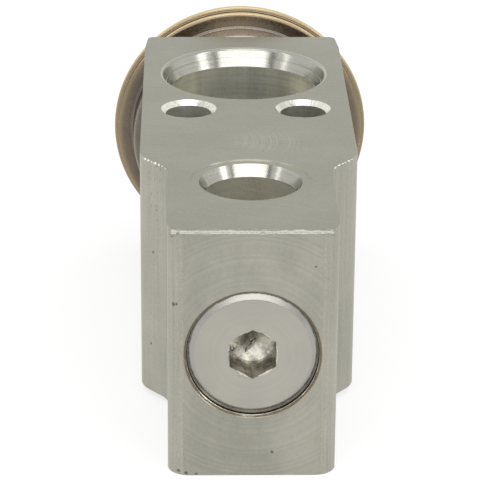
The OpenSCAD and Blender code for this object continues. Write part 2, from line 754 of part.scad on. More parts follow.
valve_block();
valve_seat();
adjusting_screw();
adjusting_screw_oring();
valve_spring();
damping_spring();
ball_retainer();
valve_ball();
valve_rod();
rod_oring();
push_nut();
heat_sensing_shaft();
shaft_sleeve();
diaphragm_stopper();
diaphragm();
power_head_lower_housing();
power_head_upper_housing();
power_head_mounting_seat();
power_head_seal();
charge_plug();
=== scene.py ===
"""Looks of a block-type thermostatic expansion valve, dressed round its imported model.

The valve axis runs along Y, from the adjusting screw to the power head. Lengths in the classes
are in millimetres, as a drawing gives them, and each mesh is scaled to metres when it is finished.
"""

import logging
import math
from collections.abc import Callable, Sequence
from dataclasses import dataclass
from enum import Enum

import bmesh
import bpy
from mathutils import Matrix, Vector, noise


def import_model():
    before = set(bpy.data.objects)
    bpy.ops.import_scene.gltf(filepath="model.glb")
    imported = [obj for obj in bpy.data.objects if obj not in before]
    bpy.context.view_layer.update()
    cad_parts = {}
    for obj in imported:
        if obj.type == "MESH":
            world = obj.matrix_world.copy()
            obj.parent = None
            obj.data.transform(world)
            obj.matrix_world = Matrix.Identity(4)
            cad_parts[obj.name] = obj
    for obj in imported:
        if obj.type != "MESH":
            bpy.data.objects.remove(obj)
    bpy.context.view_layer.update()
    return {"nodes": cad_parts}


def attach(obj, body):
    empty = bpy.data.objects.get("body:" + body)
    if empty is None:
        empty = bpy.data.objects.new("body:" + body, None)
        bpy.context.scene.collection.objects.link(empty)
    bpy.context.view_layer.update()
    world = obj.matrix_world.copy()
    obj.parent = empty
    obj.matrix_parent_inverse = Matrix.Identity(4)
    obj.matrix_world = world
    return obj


LOG = logging.getLogger("expansion_valve")
MM = 0.001
MERGED_UNDER = 1e-5
# noise_vector starts from the clock unless it is given a seed, and would differ in each run.
NOISE_SEED = 3

Colour = tuple[float, float, float]
Span = tuple[float, float]
Place = tuple[float, float, float]
Socket = bpy.types.NodeSocket
Value = Socket | float
Paint = Socket | Colour

# Noise keeps near its middle, so a pattern is eased over one of these spans of it.
NARROW: Span = (0.3, 0.7)
MIDDLE: Span = (0.25, 0.75)
WIDE: Span = (0.2, 0.8)


class Body(Enum):
    """The bodies of the valve that the new pieces ride on."""

    BLOCK = "block"
    SCREW = "screw"


class Slot(Enum):
    """The record's material slots, one named for each new piece."""

    BLOCK = "block_aluminium"
    SCREW = "screw_metal"
    TINTED = "tinted_steel"


@dataclass(frozen=True)
class ValveAxis:
    """Where the valve's main features lie, in millimetres."""

    height: float = 17.25
    block_top: float = 34.5
    screw_end: float = -47.0
    # No new piece reaches past this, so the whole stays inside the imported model's box.
    foremost: float = -46.998
    nose_half: float = 11.0
    wide_half: float = 14.9
    slope_foot: float = -24.2
    slope_crest: float = -19.5
    foot_radius: float = 4.5
    crest_radius: float = 5.0
    inlet_y: float = -29.1
    suction_y: float = 16.4
    bolt_x: float = 8.2
    tail: float = 34.0


PLACE = ValveAxis()


def opaque(paint: Paint) -> Socket | tuple[float, ...]:
    """A colour with its alpha, or a socket as it is."""
    return (*paint, 1.0) if isinstance(paint, tuple) else paint


class Graph:
    """One material's node tree, built by short calls that return sockets."""

    def __init__(self, name: str) -> None:
        """Starts an empty material.

        Args:
            name: The material's name.
        """
        self.material = bpy.data.materials.new(name)
        self.material.use_nodes = True
        self.tree = self.material.node_tree
        self.tree.nodes.clear()
        self.output = self.node("ShaderNodeOutputMaterial")
        coordinates = self.node("ShaderNodeTexCoord")
        self.place = self.vector("SCALE", coordinates.outputs["Object"], scale=1.0 / MM)
        self.normal = coordinates.outputs["Normal"]

    def node(self, kind: str, **settings: object) -> bpy.types.Node:
        """Adds a node.

        Args:
            kind: The node's type.
            **settings: Properties that are set on it.

        Returns:
            The new node.
        """
        made = self.tree.nodes.new(kind)
        for key, value in settings.items():
            setattr(made, key, value)
        return made

    def feed(self, entry: Socket, value: Value | Sequence[float]) -> None:
        """Links a socket to an input, or sets the input's own value.

        Args:
            entry: The input.
            value: A socket, a number or a row of numbers.
        """
        if isinstance(value, bpy.types.NodeSocket):
            self.tree.links.new(value, entry)
        else:
            entry.default_value = value

    def math(self, operation: str, first: Value, second: Value = 0.0,
             clamp: bool = False) -> Socket:
        """Does sums with two numbers.

        Args:
            operation: The Math node's operation.
            first: A socket or a number.
            second: A socket or a number.
            clamp: Whether the result is held between 0 and 1.

        Returns:
            The result's socket.
        """
        made = self.node("ShaderNodeMath", operation=operation, use_clamp=clamp)
        self.feed(made.inputs[0], first)
        self.feed(made.inputs[1], second)
        return made.outputs[0]

    def vector(self, operation: str, first: Socket | Place, second: Socket | Place | None = None,
               scale: Value = 1.0) -> Socket:
        """Does sums with vectors.

        Args:
            operation: The Vector Math node's operation.
            first: A socket or three numbers.
            second: A socket, three numbers or nothing.
            scale: The factor of a SCALE.

        Returns:
            The result's socket: a number for a DISTANCE, and else a vector.
        """
        made = self.node("ShaderNodeVectorMath", operation=operation)
        self.feed(made.inputs[0], first)
        if second is not None:
            self.feed(made.inputs[1], second)
        if operation == "SCALE":
            self.feed(made.inputs["Scale"], scale)
        return made.outputs["Value" if operation == "DISTANCE" else "Vector"]

    def stretch(self, along: Place) -> Socket:
        """The place in millimetres, scaled by a factor along each axis."""
        return self.vector("MULTIPLY", self.place, along)

    def distance(self, centre: Place) -> Socket:
        """The distance from a point, in millimetres."""
        return self.vector("DISTANCE", self.place, centre)

    def axes(self, source: Socket) -> tuple[Socket, Socket, Socket]:
        """Splits a vector.

        Args:
            source: The vector.

        Returns:
            Its three numbers.
        """
        made = self.node("ShaderNodeSeparateXYZ")
        self.feed(made.inputs[0], source)
        return made.outputs[0], made.outputs[1], made.outputs[2]

    def reach(self, first: Socket, second: Socket) -> Socket:
        """The length of the hypotenuse over two numbers."""
        squares = [self.math("MULTIPLY", side, side) for side in (first, second)]
        return self.math("SQRT", self.math("ADD", *squares))

    def from_axis(self) -> Socket:
        """The distance from the valve axis, in millimetres."""
        x, _, z = self.axes(self.place)
        return self.reach(x, self.math("SUBTRACT", z, PLACE.height))

    def line(self, value: Socket) -> Socket:
        """Lays a number on the X axis, for a pattern in one direction.

        Args:
            value: The number.

        Returns:
            A point at that number.
        """
        made = self.node("ShaderNodeCombineXYZ")
        self.feed(made.inputs[0], value)
        return made.outputs[0]

    def grain(self, place: Socket, scale: float, detail: float = 2.0,
              rough: float = 0.5) -> Socket:
        """Noise between 0 and 1.

        Args:
            place: The vector that the noise is read at.
            scale: How many grains there are to a millimetre.
            detail: How many octaves.
            rough: How strong the finer octaves are.

        Returns:
            The noise's socket.
        """
        made = self.node("ShaderNodeTexNoise")
        self.feed(made.inputs["Vector"], place)
        made.inputs["Scale"].default_value = scale
        made.inputs["Detail"].default_value = detail
        made.inputs["Roughness"].default_value = rough
        return made.outputs[0]

    def between(self, value: Value, span: Span, result: Span = (0.0, 1.0)) -> Socket:
        """Eases a number from one result to another.

        Args:
            value: A socket or a number.
            span: Where the result starts to change, and where it has changed.
            result: What it is before the span, and after it.

        Returns:
            The result's socket.
        """
        made = self.node("ShaderNodeMapRange", interpolation_type="SMOOTHSTEP", clamp=True)
        self.feed(made.inputs["Value"], value)
        for entry, number in zip(("From Min", "From Max", "To Min", "To Max"), (*span, *result)):
            made.inputs[entry].default_value = number
        return made.outputs[0]

    def both(self, *masks: Value) -> Socket:
        """Finds where masks meet.

        Args:
            *masks: Two masks or more.

        Returns:
            One mask.
        """
        met = masks[0]
        for mask in masks[1:]:
            met = self.math("MULTIPLY", met, mask, clamp=True)
        return met

    def outside(self, mask: Value) -> Socket:
        """The mask of all that another mask leaves."""
        return self.math("SUBTRACT", 1.0, mask, clamp=True)

    def within(self, value: Value, span: Span) -> Socket:
        """The mask of where a number lies under a span."""
        return self.outside(self.between(value, span))

    def blend(self, factor: Value, first: Value, second: Value) -> Socket:
        """Mixes two numbers.

        Args:
            factor: 0 for the first and 1 for the second.
            first: A socket or a number.
            second: A socket or a number.

        Returns:
            The result's socket.
        """
        made = self.node("ShaderNodeMix", data_type="FLOAT")
        for entry, value in ((0, factor), (2, first), (3, second)):
            self.feed(made.inputs[entry], value)
        return made.outputs[0]

    def tint(self, factor: Value, first: Paint, second: Paint) -> Socket:
        """Mixes two colours.

        Args:
            factor: 0 for the first and 1 for the second.
            first: A socket or a colour.
            second: A socket or a colour.

        Returns:
            The result's socket.
        """
        made = self.node("ShaderNodeMix", data_type="RGBA")
        for entry, value in ((0, factor), (6, opaque(first)), (7, opaque(second))):
            self.feed(made.inputs[entry], value)
        return made.outputs[2]

    def shade(self, colour: Paint, value: Value) -> Socket:
        """Multiplies a colour by a number."""
        return self.vector("SCALE", colour, scale=value)

    def bump(self, height: Socket, depth: float) -> Socket:
        """Turns a height between 0 and 1 into a bent normal.

        Args:
            height: The pattern.
            depth: How high its peaks are, in millimetres.

        Returns:
            The normal's socket.
        """
        made = self.node("ShaderNodeBump")
        self.feed(made.inputs["Height"], height)
        made.inputs["Distance"].default_value = depth * MM
        return made.outputs[0]

    def surface(self, colour: Paint, rough: Value, normal: Socket,
                metallic: float = 1.0) -> bpy.types.Material:
        """Ends the tree in a Principled shader.

        Args:
            colour: A socket or a colour.
            rough: A socket or a number.
            normal: A bent normal.
            metallic: 1 for bare metal.

        Returns:
            The finished material.
        """
        shader = self.node("ShaderNodeBsdfPrincipled")
        self.feed(shader.inputs["Base Color"], opaque(colour))
        self.feed(shader.inputs["Roughness"], rough)
        self.feed(shader.inputs["Normal"], normal)
        shader.inputs["Metallic"].default_value = metallic
        self.tree.links.new(shader.outputs[0], self.output.inputs["Surface"])
        return self.material


class BlockZones:
    """Masks of the block's faces, by how each of them was made."""

    facing: Span = (0.94, 0.98)
    standing: Span = (0.05, 0.2)
    end_face: Span = (-46.6, -46.9)
    suction_reach: Span = (12.7, 12.9)
    inlet_reach: Span = (10.2, 10.4)
    bolt_reach: Span = (4.05, 4.2)
    stake_reach: Span = (8.9, 9.02)
    stake_depth: Span = (-46.3, -46.1)
    mouth_reach: Span = (8.66, 8.75)
    slope_nx: Span = (-0.3, -0.6)
    slope_ny: Span = (-0.3, -0.5)
    slope_inner: Span = (-11.6, -11.9)
    slope_outer: Span = (-13.9, -13.6)
    slope_low: Span = (25.0, 29.0)

    def __init__(self, g: Graph) -> None:
        """Works out the masks.

        Args:
            g: The node tree of the block's material.
        """
        x, y, z = g.axes(g.place)
        nx, ny, nz = g.axes(g.normal)
        steep = g.math("ABSOLUTE", nz)
        to_screw = g.between(g.math("MULTIPLY", ny, -1.0), self.facing)
        from_suction = g.reach(x, g.math("SUBTRACT", y, PLACE.suction_y))
        from_inlet = g.reach(x, g.math("SUBTRACT", y, PLACE.inlet_y))
        from_bolt = g.reach(g.math("SUBTRACT", g.math("ABSOLUTE", x), PLACE.bolt_x), y)
        near_port = g.within(from_suction, self.suction_reach)
        for distance, span in ((from_inlet, self.inlet_reach), (from_bolt, self.bolt_reach)):
            near_port = g.math("MAXIMUM", near_port, g.within(distance, span))

        self.from_axis = g.from_axis()
        self.flat = g.between(steep, self.facing)
        self.upright = g.within(steep, self.standing)
        self.facing_screw = g.both(to_screw, g.between(y, self.end_face))
        self.in_port = g.both(near_port, g.outside(self.flat))
        self.leaning = g.both(self.in_port, g.outside(self.upright))
        self.skin = g.both(g.outside(self.in_port), self.upright, g.outside(self.facing_screw))
        self.staked = g.both(g.within(self.from_axis, self.stake_reach),
                             g.within(y, self.stake_depth))
        self.mouth = g.between(self.from_axis, self.mouth_reach)
        self.left_slope = g.both(g.between(nx, self.slope_nx), g.between(ny, self.slope_ny),
                                 g.between(x, self.slope_inner), g.between(x, self.slope_outer),
                                 g.between(z, self.slope_low))


@dataclass(frozen=True)
class BlockFinish:
    """Bare aluminium as it leaves the machine shop: drawn sides, milled faces, ports cut by boring,
    whose walls carry painted bounce light.
    """

    name: str = "block_aluminium"
    milled: Colour = (0.322, 0.315, 0.256)
    skin: Colour = (0.408, 0.398, 0.338)
    faced: Colour = (0.365, 0.357, 0.303)
    # Painted bounce light: the bore walls are far lighter than the metal, to stand for the light
    # passed round inside the bores.
    bore_bounce_light: Colour = (0.93, 0.92, 0.85)
    polished: Colour = (0.42, 0.415, 0.37)
    stained: Colour = (0.3, 0.265, 0.195)
    milled_rough: float = 0.38
    skin_rough: float = 0.44
    bored_rough: float = 0.32
    polished_rough: float = 0.19
    stained_rough: float = 0.24
    depth: float = 0.011
    fine_share: float = 0.35
    milling_centre: Place = (-22.0, -118.0, PLACE.block_top)
    sweep_centre: Place = (-7.0, -13.6, PLACE.block_top)
    sweep_middle: Place = (2.6, -13.9, PLACE.block_top)
    sweep_reach: Span = (2.8, 5.6)
    sweep_span: Span = (0.46, 0.62)
    sweep_tone: float = 1.2
    speck_span: Span = (0.62, 0.68)
    speck_tone: float = 0.74
    smear_span: Span = (0.35, 0.65)
    smear_tone: Span = (0.93, 1.06)
    cut_tone: Span = (0.91, 1.07)
    cloud_tone: Span = (-0.04, 0.04)
    milled_tone: Span = (0.88, 1.1)
    faced_tone: Span = (0.95, 1.04)
    flute_tone: Span = (0.86, 1.1)
    # Painted shade: each pit is a dark spot in the colour, with no dent in the surface.
    pit_tone: float = 0.38
    pit_fade: float = 2.2
    pits: tuple[tuple[Place, float], ...] = (
        ((-13.1, -21.67, 21.2), 0.12),
        ((-13.48, -21.2, 7.26), 0.11),
        ((-12.6, -22.27, 27.6), 0.07),
        ((-12.5, -22.39, 26.2), 0.06),
        ((2.6, -47.0, 3.4), 0.12),
        ((-10.2, -46.17, 24.1), 0.17),
        ((-9.8, -46.49, 24.25), 0.12),
        ((-8.6, -46.97, 0.35), 0.14),
        ((-9.6, -46.62, 0.55), 0.14),
        ((-7.3, -47.0, 0.25), 0.1),
        ((-5.6, -47.0, 23.9), 0.09),
        ((7.9, -47.0, 29.6), 0.08),
    )

    def build(self) -> bpy.types.Material:
        """Makes the block's material.

        Returns:
            A metal whose pattern follows how each of its faces was cut.
        """
        g = Graph(self.name)
        zones = BlockZones(g)
        fine = g.grain(g.stretch((1.0, 2.2, 1.0)), scale=3.4, detail=3.0, rough=0.6)
        cut = self.tool_marks(g, zones)
        tone = g.math("MULTIPLY", self.tone(g, zones, cut, fine), self.pitted(g))
        rough = g.blend(zones.skin, self.milled_rough, self.skin_rough)
        rough = g.blend(zones.in_port, rough, self.bored_rough)
        rough = g.blend(zones.leaning, rough, self.polished_rough)
        rough = g.blend(zones.staked, rough, self.stained_rough)
        bent = g.bump(g.blend(self.fine_share, cut, fine), self.depth)
        return g.surface(g.shade(self.colour(g, zones), tone), rough, bent)

    def tool_marks(self, g: Graph, zones: BlockZones) -> Socket:
        """Lays the marks of its own tool on each face.

        Args:
            g: The node tree.
            zones: The masks of the faces.

        Returns:
            A pattern between 0 and 1.
        """
        milling = g.grain(g.line(g.distance(self.milling_centre)), scale=2.6, detail=4.0, rough=0.7)
        facing = g.grain(g.line(zones.from_axis), scale=1.7, detail=4.0, rough=0.7)
        drawing = g.grain(g.stretch((3.0, 3.0, 0.05)), scale=1.0, detail=4.0, rough=0.6)
        boring = g.grain(g.stretch((0.05, 0.05, 2.4)), scale=1.0, detail=3.0, rough=0.7)
        cut = g.blend(zones.facing_screw, milling, facing)
        return g.blend(zones.in_port, g.blend(zones.skin, cut, drawing), boring)

    def colour(self, g: Graph, zones: BlockZones) -> Socket:
        """Gives each face its colour.

        Args:
            g: The node tree.
            zones: The masks of the faces.

        Returns:
            The colour.
        """
        colour = g.tint(zones.skin, self.milled, self.skin)
        colour = g.tint(zones.facing_screw, colour, self.faced)
        # Painted bounce light lightens the bore walls.
        colour = g.tint(zones.in_port, colour, self.bore_bounce_light)
        colour = g.tint(zones.leaning, colour, self.polished)
        return g.tint(zones.staked, colour, g.tint(zones.mouth, self.skin, self.stained))

    def tone(self, g: Graph, zones: BlockZones, cut: Socket, fine: Socket) -> Socket:
        """Varies how light the metal is.

        Args:
            g: The node tree.
            zones: The masks of the faces.
            cut: The tools' marks.
            fine: A fine grain.

        Returns:
            A factor near 1.
        """
        cloud = g.grain(g.place, scale=0.12, detail=3.0)
        smear = g.grain(g.stretch((1.0, 1.0, 0.4)), scale=0.16, detail=4.0, rough=0.6)
        to_cutter = g.vector("NORMALIZE", g.vector("MULTIPLY", g.vector(
            "SUBTRACT", g.place, (0.0, PLACE.suction_y, 0.0)), (1.0, 1.0, 0.0)))
        flutes = g.grain(to_cutter, scale=4.0, detail=2.0, rough=0.5)
        arcs = g.grain(g.line(g.distance(self.sweep_centre)), scale=3.4, detail=2.0, rough=0.4)
        sweeps = g.both(g.between(arcs, self.sweep_span),
                        g.within(g.distance(self.sweep_middle), self.sweep_reach), zones.flat)
        dots = g.grain(g.stretch((1.0, 1.0, 0.7)), scale=1.9, detail=2.0, rough=0.5)
        specks = g.both(g.between(dots, self.speck_span), zones.left_slope)
        tone = g.math("ADD", g.between(cut, MIDDLE, self.cut_tone),
                      g.between(cloud, NARROW, self.cloud_tone))
        for layer in (
            g.blend(zones.facing_screw, g.between(fine, WIDE, self.milled_tone),
                    g.between(fine, WIDE, self.faced_tone)),
            g.blend(zones.facing_screw, 1.0, g.between(smear, self.smear_span, self.smear_tone)),
            g.blend(sweeps, 1.0, self.sweep_tone),
            g.blend(specks, 1.0, self.speck_tone),
            g.blend(g.both(zones.in_port, zones.upright), 1.0,
                    g.between(flutes, NARROW, self.flute_tone)),
        ):
            tone = g.math("MULTIPLY", tone, layer)
        return tone

    def pitted(self, g: Graph) -> Value:
        """Darkens the pits with painted shade.

        Args:
            g: The node tree.

        Returns:
            A factor that is 1 outside the pits.
        """
        tone = 1.0
        for centre, size in self.pits:
            spot = g.between(g.distance(centre), (size, size * self.pit_fade), (self.pit_tone, 1.0))
            tone = g.math("MULTIPLY", tone, spot)
        return tone


@dataclass(frozen=True)
class TurnedFinish:
    """Metal turned on a lathe: fine rings about the valve axis, with a polished band."""

    name: str
    colour: Colour
    rough: float = 0.34
    band: Span = (7.5, 7.7)
    band_rough: float = 0.22
    band_colour: Colour = (0.37, 0.36, 0.33)
    # Painted shadow: the screw's rim is darkened from this radius out, to stand for the shade in
    # the gap round it.
    gap_shade_from: float = 0.0
    gap_shade_fade: float = 0.08
    gap_shade: Colour = (0.035, 0.03, 0.025)
    hollow_to: float = 0.0
    hollow_fade: float = 0.97
    hollow_rough: float = 0.4
    # Painted bounce light: both socket colours are far lighter than the screw's own metal.
    hollow_lit: Colour = (0.7, 0.68, 0.6)
    worn_and_lit: Colour = (0.48, 0.455, 0.39)
    scratch_span: Span = (0.35, 0.7)
    stain_span: Span = (0.36, 0.62)
    stain_tone: Span = (0.5, 1.12)
    ring_tone: Span = (0.96, 1.03)
    cloud_tone: Span = (-0.03, 0.03)
    depth: float = 0.005
    fine_share: float = 0.4

    def build(self) -> bpy.types.Material:
        """Makes the material.

        Returns:
            A metal with rings, a polished band, a scratched, stained socket in its middle lightened
            with painted bounce light, and an edge darkened with painted shadow.
        """
        g = Graph(self.name)
        from_axis = g.from_axis()
        rings = g.grain(g.line(from_axis), scale=2.2, detail=4.0, rough=0.65)
        fine = g.grain(g.place, scale=4.0, detail=3.0, rough=0.6)
        cloud = g.grain(g.place, scale=0.25)
        band = g.between(from_axis, self.band)
        colour = g.tint(band, self.colour, self.band_colour)
        rough = g.blend(band, self.rough, self.band_rough)
        if self.hollow_to > 0.0:
            inside = g.within(from_axis, (self.hollow_to * self.hollow_fade, self.hollow_to))
            # Painted bounce light in the socket.
            colour = g.tint(inside, colour, self.scuffed_and_lit(g))
            rough = g.blend(inside, rough, self.hollow_rough)
        # Painted shadow in the gap round the screw.
        if self.gap_shade_from > 0.0:
            edge = g.between(from_axis, (self.gap_shade_from, self.gap_shade_from + self.gap_shade_fade))
            colour = g.tint(edge, colour, self.gap_shade)
        tone = g.math("ADD", g.between(rings, MIDDLE, self.ring_tone),
                      g.between(cloud, NARROW, self.cloud_tone))
        bent = g.bump(g.blend(self.fine_share, rings, fine), self.depth)
        return g.surface(g.shade(colour, tone), rough, bent)

    def scuffed_and_lit(self, g: Graph) -> Socket:
        """Gives the socket its scratched, stained walls, lightened with painted bounce light.

        Args:
            g: The node tree.

        Returns:
            The colour.
        """
        scratches = g.grain(g.stretch((2.5, 0.35, 2.5)), scale=1.0, detail=4.0, rough=0.75)
        stains = g.grain(g.place, scale=0.7, detail=3.0, rough=0.6)
        scratched = g.tint(g.between(scratches, self.scratch_span), self.worn_and_lit, self.hollow_lit)
        return g.shade(scratched, g.between(stains, self.stain_span, self.stain_tone))


@dataclass(frozen=True)
class TintedSteelFinish:
    """Pressed steel with a yellow passivated tint, brown underneath; its golden edges carry painted
    light, and the wall of its neck a painted reflection.
    """

    name: str = "tinted_steel"
    # Painted light: a lit copy of the edges' golden tint for faces turned up, and a shaded copy for
    # faces turned down.
    lit_gold: Colour = (0.7, 0.555, 0.33)
    shaded_gold: Colour = (0.39, 0.31, 0.195)
    brown: Colour = (0.175, 0.148, 0.115)
    dark_brown: Colour = (0.145, 0.125, 0.105)
    tan: Colour = (0.29, 0.225, 0.142)
    # Painted reflection: the neck wall is darker where it faces aside and lighter where it faces
    # up.
    shaded_wall: Colour = (0.22, 0.2, 0.165)
    bright: Colour = (0.76, 0.69, 0.6)
    dull_crown: Colour = (0.47, 0.385, 0.25)
    crown: Colour = (0.6, 0.495, 0.325)
    rough: float = 0.24
    rough_spread: float = 0.12
    depth: float = 0.003
    wall_reach: Span = (17.2, 17.6)
    flange_reach: Span = (17.6, 20.0)
    lip_reach: Span = (18.9, 19.3)
    edge_reach: Span = (19.7, 19.95)
    crown_from: Span = (PLACE.tail + 7.2, PLACE.tail + 7.7)
    lip_lit_turn: Span = (0.3, 0.8)
    edge_turn: Span = (0.6, 0.95)
    wall_turn: Span = (0.35, 0.85)
    # Painted light: how far a face must turn up to take the lit copy.
    gilt_light_lift: Span = (0.1, 0.75)
    wall_light_lift: Span = (0.3, 0.9)
    brown_span: Span = (0.36, 0.66)
    ring_tone: Span = (0.95, 1.04)
    fine_share: float = 0.5

    def build(self) -> bpy.types.Material:
        """Makes the material.

        Returns:
            A tinted metal whose colour depends on how the sheet faces and how far out it lies.
        """
        g = Graph(self.name)
        _, y, _ = g.axes(g.place)
        _, ny, nz = g.axes(g.normal)
        along = g.math("ABSOLUTE", ny)
        from_axis = g.from_axis()
        # Painted highlight: the inner lip is gilded only where it faces up.
        lip = g.both(g.between(from_axis, self.lip_reach), g.between(nz, self.lip_lit_turn))
        edge = g.math("MAXIMUM", g.between(from_axis, self.edge_reach), lip)
        edge = g.both(edge, g.within(along, self.edge_turn))
        wall = g.both(g.within(along, self.wall_turn), g.within(from_axis, self.wall_reach))
        cloud = g.grain(g.place, scale=0.22, detail=4.0, rough=0.6)
        rings = g.grain(g.line(from_axis), scale=1.6, detail=4.0, rough=0.6)
        fine = g.grain(g.place, scale=2.8, detail=4.0, rough=0.65)
        flat = g.tint(g.between(cloud, self.brown_span), self.brown, self.dark_brown)
        flat = g.tint(g.between(from_axis, self.flange_reach), flat, self.tan)
        crown = g.tint(g.between(cloud, MIDDLE), self.dull_crown, self.crown)
        colour = g.tint(g.between(y, self.crown_from), flat, crown)
        # Painted light: the gilded edges are lighter on faces turned up, darker on faces turned
        # down.
        lit_and_shaded_gilt = g.tint(g.between(nz, self.gilt_light_lift), self.shaded_gold, self.lit_gold)
        # Painted reflection: the neck wall is lighter where it faces up.
        bare = g.tint(g.between(nz, self.wall_light_lift), self.shaded_wall, self.bright)
        colour = g.tint(wall, g.tint(edge, colour, lit_and_shaded_gilt), bare)
        tone = g.math("MULTIPLY", g.between(rings, MIDDLE, self.ring_tone),
                      g.between(fine, WIDE, self.ring_tone))
        grainy = g.between(fine, NARROW, (self.rough, self.rough + self.rough_spread))
        bent = g.bump(g.blend(self.fine_share, rings, fine), self.depth)
        return g.surface(g.shade(colour, tone), g.blend(edge, grainy, self.rough), bent)


@dataclass(frozen=True)
class CutMetalFinish:
    """Freshly torn or scraped metal, such as a burr: bright, with a fine broken surface."""

    name: str
    colour: Colour
    stain: Colour
    stained: float = 0.0
    rough: float = 0.2
    scale: float = 1.6
    depth: float = 0.02
    rough_spread: float = 0.2
    tone: Span = (0.86, 1.08)

    def build(self) -> bpy.types.Material:
        """Makes the material.

        Returns:
            A bright metal with stained patches.
        """
        g = Graph(self.name)
        patches = g.grain(g.place, scale=self.scale * 0.5, detail=4.0, rough=0.65)
        torn = g.grain(g.place, scale=self.scale * 3.0, detail=4.0, rough=0.7)
        stain_span = (0.55 - self.stained, 0.85 - self.stained)
        colour = g.tint(g.between(patches, stain_span), self.colour, self.stain)
        colour = g.shade(colour, g.between(torn, NARROW, self.tone))
        rough = g.between(torn, NARROW, (self.rough, self.rough + self.rough_spread))
        return g.surface(colour, rough, g.bump(torn, self.depth))


@dataclass(frozen=True)
class PlainFinish:
    """A finish of one colour for the pieces inside, with a fine grain of its own."""

    name: str
    colour: Colour
    rough: float = 0.3
    metallic: float = 1.0
    grain: float = 2.0
    depth: float = 0.006
    spread: float = 0.06
    rough_spread: float = 0.08

    def build(self) -> bpy.types.Material:
        """Makes the material.

        Returns:
            The material, with noise in its colour, its roughness and its surface.
        """
        g = Graph(self.name)
        cloud = g.grain(g.place, scale=self.grain * 0.2, detail=3.0)
        fine = g.grain(g.place, scale=self.grain, detail=4.0, rough=0.6)
        tone = g.math("ADD", g.between(cloud, NARROW, (1.0 - self.spread, 1.0)),
                      g.between(fine, NARROW, (0.0, self.spread)))
        rough = g.between(fine, NARROW, (self.rough, self.rough + self.rough_spread))
        bent = g.bump(fine, self.depth)
        return g.surface(g.shade(self.colour, tone), rough, bent, self.metallic)


class Finishes:
    """Every finish of the valve, each built once."""

    def __init__(self) -> None:
        """Builds the materials."""
        self.block = BlockFinish().build()
        self.screw = TurnedFinish("turned_screw", (0.415, 0.405, 0.355), gap_shade_from=8.44,
                                  hollow_to=3.3).build()
        self.steel = TurnedFinish("ground_steel", (0.42, 0.41, 0.39), rough=0.26,
                                  band=(40.0, 41.0)).build()
        self.tinted = TintedSteelFinish().build()
        self.spring = PlainFinish("spring_wire", (0.34, 0.345, 0.36), rough=0.24).build()
        self.brass = PlainFinish("turned_brass", (0.52, 0.4, 0.18), rough=0.28).build()
        self.shaft = PlainFinish("shaft_aluminium", (0.47, 0.465, 0.43), rough=0.32).build()
        self.resin = PlainFinish("black_resin", (0.03, 0.03, 0.032), rough=0.42, metallic=0.0,
                                 grain=1.2, depth=0.02, spread=0.2).build()
        self.rubber = PlainFinish("black_rubber", (0.016, 0.016, 0.017), rough=0.55, metallic=0.0,
                                  grain=1.6, depth=0.02, spread=0.2).build()
        self.burr = CutMetalFinish("torn_aluminium", (0.82, 0.81, 0.735), (0.35, 0.342, 0.296),
                                   stained=0.46, scale=1.1, depth=0.01).build()
        self.stake = CutMetalFinish("staked_edge", (0.66, 0.61, 0.48), (0.17, 0.145, 0.105),
                                    stained=0.42, rough=0.26, scale=1.1).build()
        self.weld = CutMetalFinish("weld_bead", (0.56, 0.44, 0.27), (0.3, 0.24, 0.155),
                                   stained=0.4, rough=0.3, scale=1.4).build()
        self.chatter = CutMetalFinish("chattered_edge", (0.8, 0.79, 0.71), (0.5, 0.49, 0.43),
                                      stained=0.08, rough=0.16, scale=0.9, depth=0.004).build()
        LOG.info("finishes: %d materials", len(vars(self)))

    def dress_frame(self, nodes: dict[str, bpy.types.Object]) -> None:
        """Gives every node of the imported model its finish.

        Args:
            nodes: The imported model's nodes by name.
        """
        groups = (
            (self.block, ("valve_block",)),
            (self.screw, ("adjusting_screw",)),
            (self.steel, ("valve_seat", "valve_ball", "valve_rod", "diaphragm_stopper",
                          "power_head_mounting_seat", "charge_plug", "diaphragm")),
            (self.tinted, ("power_head_lower_housing", "power_head_upper_housing")),
            (self.spring, ("valve_spring", "damping_spring", "push_nut")),
            (self.brass, ("ball_retainer",)),
            (self.shaft, ("heat_sensing_shaft",)),
            (self.resin, ("shaft_sleeve",)),
            (self.rubber, ("adjusting_screw_oring", "rod_oring", "power_head_seal")),
        )
        by_node = {name: finish for finish, names in groups for name in names}
        for name, thing in nodes.items():
            for slot in thing.material_slots:
                slot.material = by_node[name]
            if not thing.material_slots:
                thing.data.materials.append(by_node[name])
            LOG.info("%s: %s", name, by_node[name].name)


@dataclass(frozen=True)
class Ruffle:
    """Noise that moves the points of a mesh, as torn or welded metal has."""

    size: float
    length: float
    seed: float

    def at(self, point: Vector) -> float:
        """The shift at a point, in millimetres, to either side of nought."""
        offset = Vector((self.seed, self.seed * 0.7, 0.0))
        return self.size * noise.noise(point / self.length + offset)

    def push(self, point: Vector) -> Vector:
        """The shift at a point along all three axes."""
        offset = Vector((0.0, self.seed, self.seed))
        return self.size * noise.noise_vector(point / self.length + offset)


@dataclass(frozen=True)
class Lump:
    """A stretch of a burr that stands higher or hangs lower than the rest."""

    at: float
    half_length: float
    swell: float
    drop: float = 0.0

    def share(self, along: float) -> float:
        """How much of it there is at a place: 1 at its middle and 0 past its ends."""
        off = abs(along - self.at) / self.half_length
        return math.cos(min(off, 1.0) * math.pi / 2) ** 2


